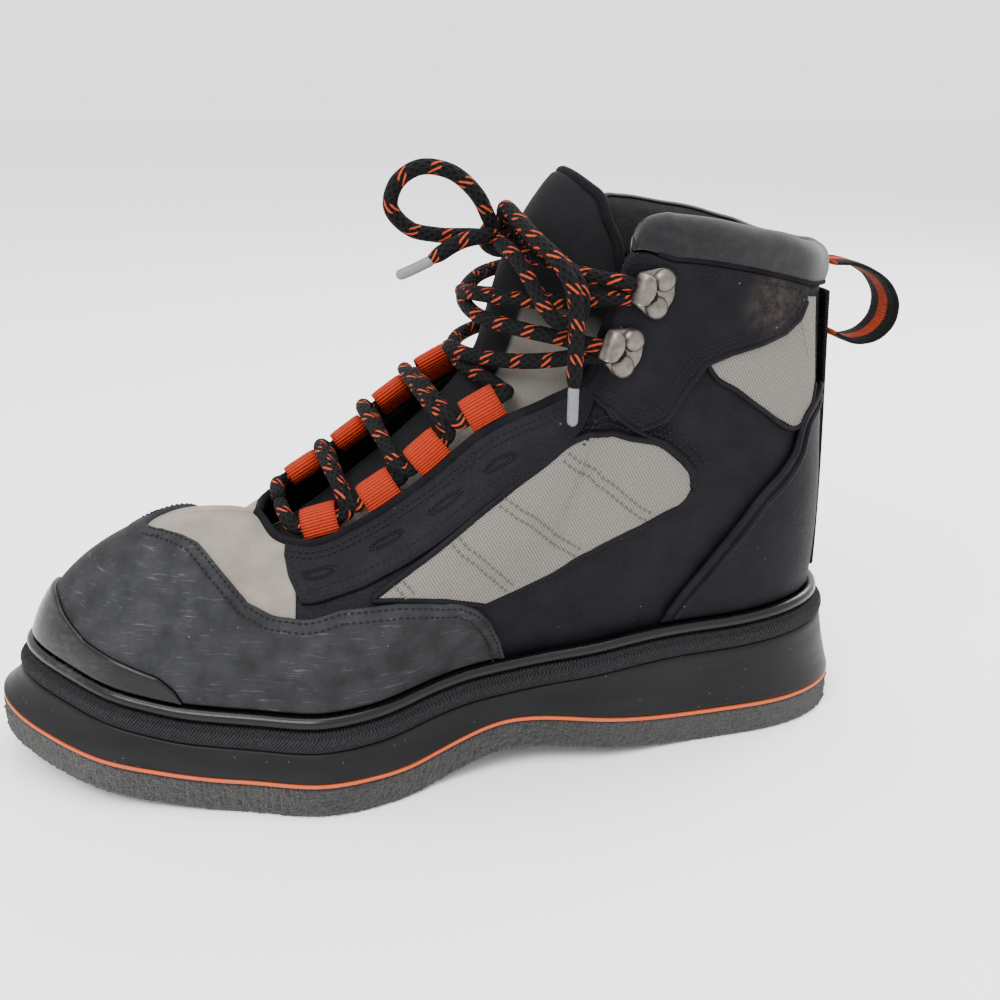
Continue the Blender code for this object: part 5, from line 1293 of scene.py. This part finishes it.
def build_panels():
    """Sewn pieces over the shell: vamp, cap, bumper, counter, wings, eyestays, woven and ankle panels."""
    start = float(angle(0.700))
    add_panel("vamp_panel", start, 2 * math.pi - start, lambda s: line(CAP_EDGE)(s) - 0.06,
              level(UNDER_THE_BINDING), "leather_grey", "upper_leather", lift=0.0001, rise=0.0007, count=260,
              rows=30)
    start = float(angle(0.4485))
    add_panel("cap", start, 2 * math.pi - start, level(0.0), line(CAP_EDGE), "leather_cap", "cap_leather",
              nodes=["toe_cap"], count=360, rows=44, fold=(0.0058, 0.0008), rise=0.0015)
    start = float(angle(0.812))
    add_panel("bumper", start, 2 * math.pi - start, level(0.0), line(BUMPER_EDGE), "gloss_rubber_black",
              "gloss_rubber", lift=0.0016, rise=0.0018, nodes=["toe_bumper"], count=220, rows=16)
    reach = float(angle(0.258))
    add_panel("counter", -reach, reach, level(0.0), line(COUNTER_EDGE), "leather_black", "upper_leather",
              nodes=["heel_counter"], count=260, rows=24)
    for word, side in (("outer", OUTER), ("inner", INNER)):
        add_panel("wing_" + word, *span(0.0765, 0.466, side), line(WING_EDGE), level(UNDER_THE_COLLAR),
                  "leather_black", "upper_leather", nodes=["ankle_wing_" + word], rise=0.0012)
        add_panel("stay_" + word, *span(0.445, 0.713, side), line(EYESTAY_EDGE), level(UNDER_THE_COLLAR),
                  "leather_black", "upper_leather", nodes=["eyestay_" + word], rise=0.0012)
        add_panel("weave_" + word, *span(0.252, 0.627, side), line(WEAVE_LOW), line(WEAVE_TOP), "weave_grey",
                  "upper_leather", lift=0.0001, rise=0.0007, count=260, rows=30)
        add_panel("ankle_" + word, *span(0.045, 0.257, side), line(ANKLE_LOW), line(ANKLE_TOP), "weave_grey",
                  "upper_leather", lift=0.0001, rise=0.0007, count=120)

    def bead(name, table, side, distance, lift, radius, smooth=False):
        """Raised bead along a curve, or along the curve at a distance beside it."""
        a, h = curve_on(table, side, 260, smooth)
        if distance:
            a, h = shift_curve(a, h, distance)
        add_piece(tube_mesh(name, skin(a, h, lift), radius, 10, 0.0012), "leather_black")

    for word, side in (("outer", OUTER), ("inner", INNER)):
        counter = [(0.254, 0.025)] + COUNTER_EDGE[-2::-1]
        bead("counter_ridge_%s_1" % word, counter, side, 0.0, 0.0013, 0.0013, True)
        bead("counter_ridge_%s_2" % word, counter, side, 0.0042 * side, 0.0015, 0.0012, True)
        bead("wing_fold_" + word, WING_EDGE[1:-1], side, 0.0, 0.0011, 0.0010)
        bead("seam_bead_" + word, SEAM, side, 0.0, 0.0008, 0.0009, True)
        bead("weave_bead_" + word, WEAVE_LOW, side, 0.0, 0.0006, 0.0010)
        bead("weave_top_bead_" + word, WEAVE_TOP, side, 0.0, 0.0006, 0.0012, True)
        bead("ankle_bead_" + word, ANKLE_LOW, side, 0.0, 0.0006, 0.0010, True)
    # Binding tape over the throat edge, from one collar end round the front of the throat to the other
    turn = np.linspace(float(angle(0.405)), float(angle(0.7497)), 260)
    outer = skin(-turn, np.full(len(turn), 0.999), 0.0006)
    inner = skin(turn[::-1], np.full(len(turn), 0.999), 0.0006)
    edge = np.concatenate([outer, inner[1:]])
    add_piece(tube_mesh("throat_binding", edge, 0.0022, 14, 0.0012, flat=0.75), "binding_suede")


def build_stitches(settings):
    """Sewing: double rows on seams and edges, rings at the loops and a plain row at the ankle."""
    pale, dark, beige = Stitches(), Stitches(), Stitches()
    pitch, gap = settings.stitch_pitch, settings.row_gap

    def double_row(curve, way, first, apart, lift):
        """Two black rows beside a curve, on the side that way says."""
        for shift in (first, first + apart):
            dark.on(*shift_curve(*curve, shift * way), lift, pitch)

    for side in (OUTER, INNER):
        for table in WEAVE_ROWS:
            a, h = [part[3:-5] for part in curve_on(table, side, 60)]
            for shift in (-gap / 2, gap / 2):
                pale.on(*shift_curve(a, h, shift), 0.0010, pitch)
        over_weave = [row for row in WEAVE_TOP if 0.29 < row[0] < 0.48]
        double_row(curve_on(over_weave, side, 160), side, 0.0026, 0.8 * gap, 0.0006)
        double_row(curve_on(SEAM, side, 240, True), -side, 0.0022, gap, 0.0006)
        cap_line = [row for row in CAP_EDGE[1:] if row[0] < 0.93]
        double_row(curve_on(cap_line, side, 500), -side, 0.0016, gap, 0.0026)
        double_row(curve_on(WING_EDGE[1:-1], side, 240), side, 0.0022, gap, 0.0015)
        double_row(curve_on(EYESTAY_EDGE, side, 240), side, 0.0018, gap, 0.0015)
        throat = angle(np.linspace(0.485, 0.705, 200), side), np.full(200, 0.999)
        double_row(throat, -side, 0.0040, 0.0022, 0.0016)
        a, h = curve_on([(s, 0.975) for s in (0.10, 0.20, 0.30, 0.38)], side, 200)
        dark.on(a, h, 0.0015, pitch)
        for share in LOOPS[side]:
            a0 = float(angle(share, side))
            pa, ph, _ = [np.array(v) for v in tangents(np.array(a0), np.array(0.96))]
            turn = np.linspace(0, 2 * math.pi, 48)
            for wide, tall in ((0.0066, 0.0020), (0.0056, 0.0012)):
                along = np.cos(turn) * wide / np.linalg.norm(pa)
                rise = (-0.0128 + np.sin(turn) * tall) / np.linalg.norm(ph)
                dark.on(a0 + along, 1.0 + rise, 0.0017, 0.00125, 0.0011)
        a, h = curve_on([(0.072, 0.80), (0.093, 0.905)], side, 60)
        beige.on(a, h, 0.0010, pitch)
    pale.piece("stitches_pale", "thread_olive", "upper_leather")
    dark.piece("stitches_black", "thread_black", "upper_leather")
    beige.piece("stitches_beige", "thread_beige", "upper_leather")


# Collar and tongue

def build_collar():
    """Padded collar: a rounded profile along the upper's rim, drawn in to a point at both ends."""
    stations = 260
    end = float(angle(COLLAR_END)) - 1e-3
    a = np.linspace(-end, end, stations)
    share = (1 - np.cos(a)) / 2
    outer, inner = [np.stack(top_edge(share, side), axis=-1) for side in (OUTER, INNER)]
    rim = np.where(a[:, None] < 0, outer, inner)
    path = unit(np.gradient(rim[:, :2], axis=0))
    away = np.stack([path[:, 1], -path[:, 0]], axis=-1)
    if away[stations // 2, 0] < 0:
        away = -away
    taper = np.sqrt(np.clip((COLLAR_END - share) / COLLAR_TAPER, 0.03, 1))
    looped = np.array(COLLAR_PROFILE[-3:] + COLLAR_PROFILE + COLLAR_PROFILE[:4])
    steps = np.arange(len(looped)) - 3.0
    at = np.linspace(0, len(COLLAR_PROFILE), 44, endpoint=False)
    out, rise = [smooth_column(np.column_stack([steps, looped]), i, at) for i in (1, 2)]
    wave = np.sin(a * 9 + 1.0) * 0.0003 + np.sin(a * 23) * 0.00015
    grid = []
    for o, r in zip(out, rise):
        shift = o * COLLAR_PAD * (0.35 + 0.65 * taper if o < -0.3 else np.ones(stations)) + wave * max(r, 0)
        if r < 0:
            shift = np.minimum(shift, -UPPER_WALL - 4 * GAP)
        up = r * COLLAR_RISE * (0.15 + 0.85 * taper) + 2 * GAP + wave * max(r, 0)
        grid.append(np.column_stack([rim[:, :2] + away * shift[:, None], rim[:, 2] + up]))
    grid = np.array(grid)
    rows = len(grid)
    caps = [[k * stations for k in range(rows)], [(k + 1) * stations - 1 for k in range(rows)]]
    collar = add_piece(outward(lattice("collar_pad", grid, (True, False), caps=caps)), "collar_nubuck",
                       ["collar"])
    top = int(np.argmax(rise))
    seam = grid[0] + np.column_stack([away * 0.0002, np.zeros(stations)])
    add_piece(tube_mesh("collar_seam", seam[6:-6], 0.0009, 10, 0.0012), "binding_suede")
    edge = grid[(top + 3) % rows]
    inner_seam = tube_mesh("collar_inner_seam", edge[8:-8] + np.array([0, 0, 0.0001]), 0.0005, 8, 0.0015)
    add_piece(inner_seam, "binding_suede")


def build_tongue():
    """Padded tongue with a rolled edge: two bowed faces meeting round a bound border."""
    rows, cols = 150, 60
    v = np.linspace(0, 1, rows)
    w = np.sin(np.linspace(-1, 1, cols) * math.pi / 2)
    vv, ww = np.meshgrid(v, w, indexing="ij")
    roll = np.sqrt(np.clip(1 - np.abs(ww) ** 6, 0.0, 1)) * np.clip((1 - vv) / 0.03, 0.05, 1) ** 0.5
    beside = np.exp(-((np.abs(ww) - 0.72) / 0.03) ** 2) * ease((vv - 0.5) / 0.1)
    channel = 0.09 * np.exp(-((vv - 0.78) / 0.008) ** 2) + 0.09 * beside
    front = tongue_point(vv, ww, 0.5 - 0.5 * roll + channel * roll)
    back = tongue_point(vv, ww, 0.5 + 0.5 * roll)
    grid = np.concatenate([front, back[:, ::-1]], axis=1)
    uv_w = np.concatenate([w, w[::-1], w[:1]])
    uv = np.stack([np.tile(uv_w, (rows, 1)), np.tile(v[:, None], (1, 2 * cols + 1))], axis=-1)
    caps = [list(range(2 * cols)), list(range((rows - 1) * 2 * cols, rows * 2 * cols))]
    mesh = outward(lattice("tongue_pad", grid, (False, True), uv, caps))
    tongue = add_piece(mesh, "tongue_fabric", ["tongue"])
    low = 70
    left = tongue_point(v[low:], np.full(rows - low, -0.985), np.full(rows - low, 0.45))
    top = tongue_point(np.full(60, 0.997), np.linspace(-0.985, 0.985, 60), np.full(60, 0.45))
    right = tongue_point(v[low:][::-1], np.full(rows - low, 0.985), np.full(rows - low, 0.45))
    border = np.concatenate([left[:-2], top, right[2:]])
    binding = tube_mesh("tongue_binding", smooth_route(border[::4], 0.001), 0.0020, 12, 0.0015)
    add_piece(binding, "binding_suede")


# Webbing and metal

def strap_mesh(name, line_points, across, normals, width, thickness, columns=9):
    """Flat strap: rounded cross sections along a path, with UVs in metres across and along it."""
    half = width / 2
    t = np.linspace(-1, 1, columns)
    profile = [(x * half, thickness / 2 * (1 - 0.5 * abs(x) ** 8)) for x in t]
    profile += [(x * half, -thickness / 2 * (1 - 0.5 * abs(x) ** 8)) for x in t[::-1]]
    profile = np.array(profile)
    wide, thick = profile[:, 0][:, None], profile[:, 1][:, None]
    grid = line_points[:, None] + across[:, None] * wide + normals[:, None] * thick
    run = run_along(line_points)
    count = len(profile)
    u = np.tile(np.concatenate([profile[:, 0], profile[:1, 0]]), (len(run), 1))
    uv = np.stack([u, np.tile(run[:, None], (1, count + 1))], axis=-1)
    last = (len(run) - 1) * count
    return outward(lattice(name, grid, (False, True), uv, [range(count), range(last, last + count)]))


def build_webbing():
    """Lace loops, pull loop and heel strip."""
    for word, side in (("outer", OUTER), ("inner", INNER)):
        for number, share in enumerate(LOOPS[side], 1):
            place, toe, top, out = [np.array(v) for v in loop_frame(share, side)]
            steps = [(i, *row) for i, row in enumerate(LOOP_PROFILE)]
            at = np.linspace(0, len(LOOP_PROFILE) - 1, 44)
            over, rise = [smooth_column(steps, i, at) * LOOP_REACH for i in (1, 2)]
            middle = np.array(LOOP_HOLE) * LOOP_REACH
            flat = np.stack([over, rise], axis=-1)
            flat += unit(middle - flat) * LOOP_WALL / 2
            path = place + top * flat[:, :1] + out * flat[:, 1:]
            tangent = unit(np.gradient(path, axis=0))
            normal = unit(np.cross(tangent, toe))
            label, across = "loop_%s_%d" % (word, number), np.tile(toe, (len(path), 1))
            mesh = strap_mesh(label, path, across, normal, LOOP_WIDTH, LOOP_WALL, 7)
            add_piece(mesh, "webbing_orange", ["lace_" + label])
    steps = [(i / (len(PULL_LOOP) - 1), *row) for i, row in enumerate(PULL_LOOP)]
    at = np.linspace(0, 1, 130)
    x = HEEL_REACH - smooth_column(steps, 1, at) * SOLE_LENGTH
    z = smooth_column(steps, 2, at) * COLLAR_HEIGHT
    path = np.stack([x, 0 * x, z], axis=-1)
    tangent = unit(np.gradient(path, axis=0))
    across = np.tile((0.0, 1.0, 0.0), (len(at), 1))
    add_piece(strap_mesh("pull_strap", path, across, np.cross(tangent, across), STRAP_WIDTH, STRAP_THICKNESS,
                         13),
              "webbing_striped", ["pull_loop"])
    h = np.linspace(0.045, 0.972, 90)
    a = np.linspace(0, 0.7, 200)
    lift = GAP * 2 + OVERLAY
    grid_h, grid_a = np.meshgrid(h, a, indexing="ij")
    wide = plain_skin(grid_a, grid_h)[..., 1]

    def beside_middle(share):
        """Parameters of the points that lie a share of the strip's half width beside its middle line."""
        reach = abs(share) * STRAP_WIDTH / 2
        return np.array([np.interp(reach, wide[k], a) for k in range(len(h))]) * np.sign(share)

    over = [skin(beside_middle(share), h, lift + STRAP_THICKNESS * (1 - 0.5 * abs(share) ** 8))
            for share in np.linspace(-1, 1, 15)]
    under = [skin(beside_middle(share), h, lift) for share in (1, 0, -1)]
    strip = np.array(over + under).transpose(1, 0, 2)
    count = strip.shape[1]
    u = np.concatenate([np.linspace(-1, 1, 15), [1, 0, -1], [-1]]) * STRAP_WIDTH / 2
    run = strip[:, 7, 2]
    uv = np.stack([np.tile(u, (len(h), 1)), np.tile(run[:, None], (1, count + 1))], axis=-1)
    caps = [range(count), range((len(h) - 1) * count, len(h) * count)]
    mesh = outward(lattice("heel_webbing", strip, (False, True), uv, caps))
    add_piece(mesh, "webbing_black", ["heel_strip"])


def build_hardware():
    """Speed hooks as bent rounded plates, and domed rivet caps."""
    for word, side in (("outer", OUTER), ("inner", INNER)):
        for level, high_spot, low_spot in HOOKS:
            lift = GAP + OVERLAY + 2 * GAP
            high, _, _, out = surface_frame(high_spot[0], side, high_spot[1], lift)
            low, _, _, out_low = surface_frame(low_spot[0], side, low_spot[1], lift)
            out = (out + out_low).normalized()
            middle, axis = (high + low) / 2, high - low
            axis = (axis - out * axis.dot(out)).normalized()
            front = axis.cross(out)
            if front.x > 0:
                front = -front
            m, f, o, l = [np.array(v) for v in (middle, front, out, axis)]
            steps = [(i, *row) for i, row in enumerate(HOOK_PATH)]
            at = np.linspace(0, len(HOOK_PATH) - 1, 60)
            ahead, rise, wide = [smooth_column(steps, i, at) for i in (1, 2, 3)]
            end = np.minimum(at, len(HOOK_PATH) - 1 - at)
            wide = wide * np.sqrt(np.clip(1 - (1 - np.clip(end / 0.7, 0, 1)) ** 2, 0.05, 1))
            path = np.stack([ahead, rise], axis=-1) * HOOK_LENGTH
            slope = unit(np.gradient(path, axis=0))
            rows = []
            t = np.linspace(-1, 1, 13)
            profile = [(x, 1 - 0.5 * abs(x) ** 6) for x in t] + [(x, 0.5 * abs(x) ** 6) for x in t[::-1]]
            for k in range(len(at)):
                ring = []
                for x, depth in profile:
                    p = path[k] + np.array([-slope[k, 1], slope[k, 0]]) * depth * HOOK_GAUGE
                    ring.append(m + f * p[0] + o * p[1] + l * x * wide[k] * HOOK_HEIGHT / 2)
                rows.append(ring)
            grid = np.array(rows)
            count = len(profile)
            mesh = outward(lattice("hook_%s_%s" % (word, level), grid, (False, True),
                                   caps=[range(count), range((len(at) - 1) * count, len(at) * count)]))
            add_piece(mesh, "metal_pewter", ["speed_hook_%s_%s" % (word, level)])
            for end_name, shift in (("top", 0.5), ("low", -0.5)):
                base = m + l * RIVET_SPACING * shift + o * (HOOK_GAUGE + GAP)
                rings = []
                for r, z in RIVET_PROFILE:
                    rings.append([base + (f * math.cos(c) + l * math.sin(c)) * r * RIVET_RADIUS
                                  + o * z * RIVET_DOME
                                  for c in np.linspace(0, 2 * math.pi, RIVET_SIDES, endpoint=False)])
                label, last = "%s_%s_%s" % (word, level, end_name), (len(rings) - 1) * RIVET_SIDES
                mesh = outward(lattice("rivet_cap_" + label, np.array(rings), (False, True),
                                       caps=[range(RIVET_SIDES), range(last, last + RIVET_SIDES)]))
                add_piece(mesh, "metal_pewter", ["rivet_" + label])


# Operators

class BOOT_OT_stage(bpy.types.Operator):
    """Makes the materials, the camera, the floor and the lights"""

    bl_idname = "boot.stage"
    bl_label = "Stage and materials"

    def execute(self, context):
        make_materials()
        build_stage()
        return {"FINISHED"}


class BOOT_OT_lace(bpy.types.Operator):
    """Runs the lace through loops and hooks and ties its bow"""

    bl_idname = "boot.lace"
    bl_label = "Lace"

    def execute(self, context):
        build_lace()
        return {"FINISHED"}


class BOOT_OT_sole(bpy.types.Operator):
    """Builds felt, bright layer, midsole, welt and piping"""

    bl_idname = "boot.sole"
    bl_label = "Sole"

    def execute(self, context):
        build_sole(context.scene.boot_settings)
        return {"FINISHED"}


class BOOT_OT_upper(bpy.types.Operator):
    """Builds the shell of the upper, its sewn pieces and its stitches"""

    bl_idname = "boot.upper"
    bl_label = "Upper"

    def execute(self, context):
        build_shell()
        build_panels()
        build_stitches(context.scene.boot_settings)
        return {"FINISHED"}


class BOOT_OT_padding(bpy.types.Operator):
    """Builds the padded collar and tongue"""

    bl_idname = "boot.padding"
    bl_label = "Collar and tongue"

    def execute(self, context):
        build_collar()
        build_tongue()
        return {"FINISHED"}


class BOOT_OT_fittings(bpy.types.Operator):
    """Builds lace loops, pull loop, heel strip, hooks and rivets"""

    bl_idname = "boot.fittings"
    bl_label = "Webbing and metal"

    def execute(self, context):
        build_webbing()
        build_hardware()
        return {"FINISHED"}


OPERATORS = (BOOT_OT_stage, BOOT_OT_lace, BOOT_OT_sole, BOOT_OT_upper, BOOT_OT_padding, BOOT_OT_fittings)


class BOOT_PT_panel(bpy.types.Panel):
    """Lists the steps that build the boot's looks"""

    bl_label = "Wading boot"
    bl_space_type = "VIEW_3D"
    bl_region_type = "UI"
    bl_category = "Boot"

    def draw(self, context):
        settings = context.scene.boot_settings
        for name in ("stitch_pitch", "row_gap", "felt_fuzz", "seed"):
            self.layout.prop(settings, name)
        for operator in OPERATORS:
            self.layout.operator(operator.bl_idname)


CLASSES = (BootSettings, *OPERATORS, BOOT_PT_panel)


def register():
    for one in CLASSES:
        bpy.utils.register_class(one)
    bpy.types.Scene.boot_settings = bpy.props.PointerProperty(type=BootSettings)


def unregister():
    del bpy.types.Scene.boot_settings
    for one in reversed(CLASSES):
        bpy.utils.unregister_class(one)


def main():
    register()
    for operator in OPERATORS:
        group, name = operator.bl_idname.split(".")
        if getattr(getattr(bpy.ops, group), name)() != {"FINISHED"}:
            raise RuntimeError(operator.bl_label + " could not be built")


if __name__ == "__main__":
    main()
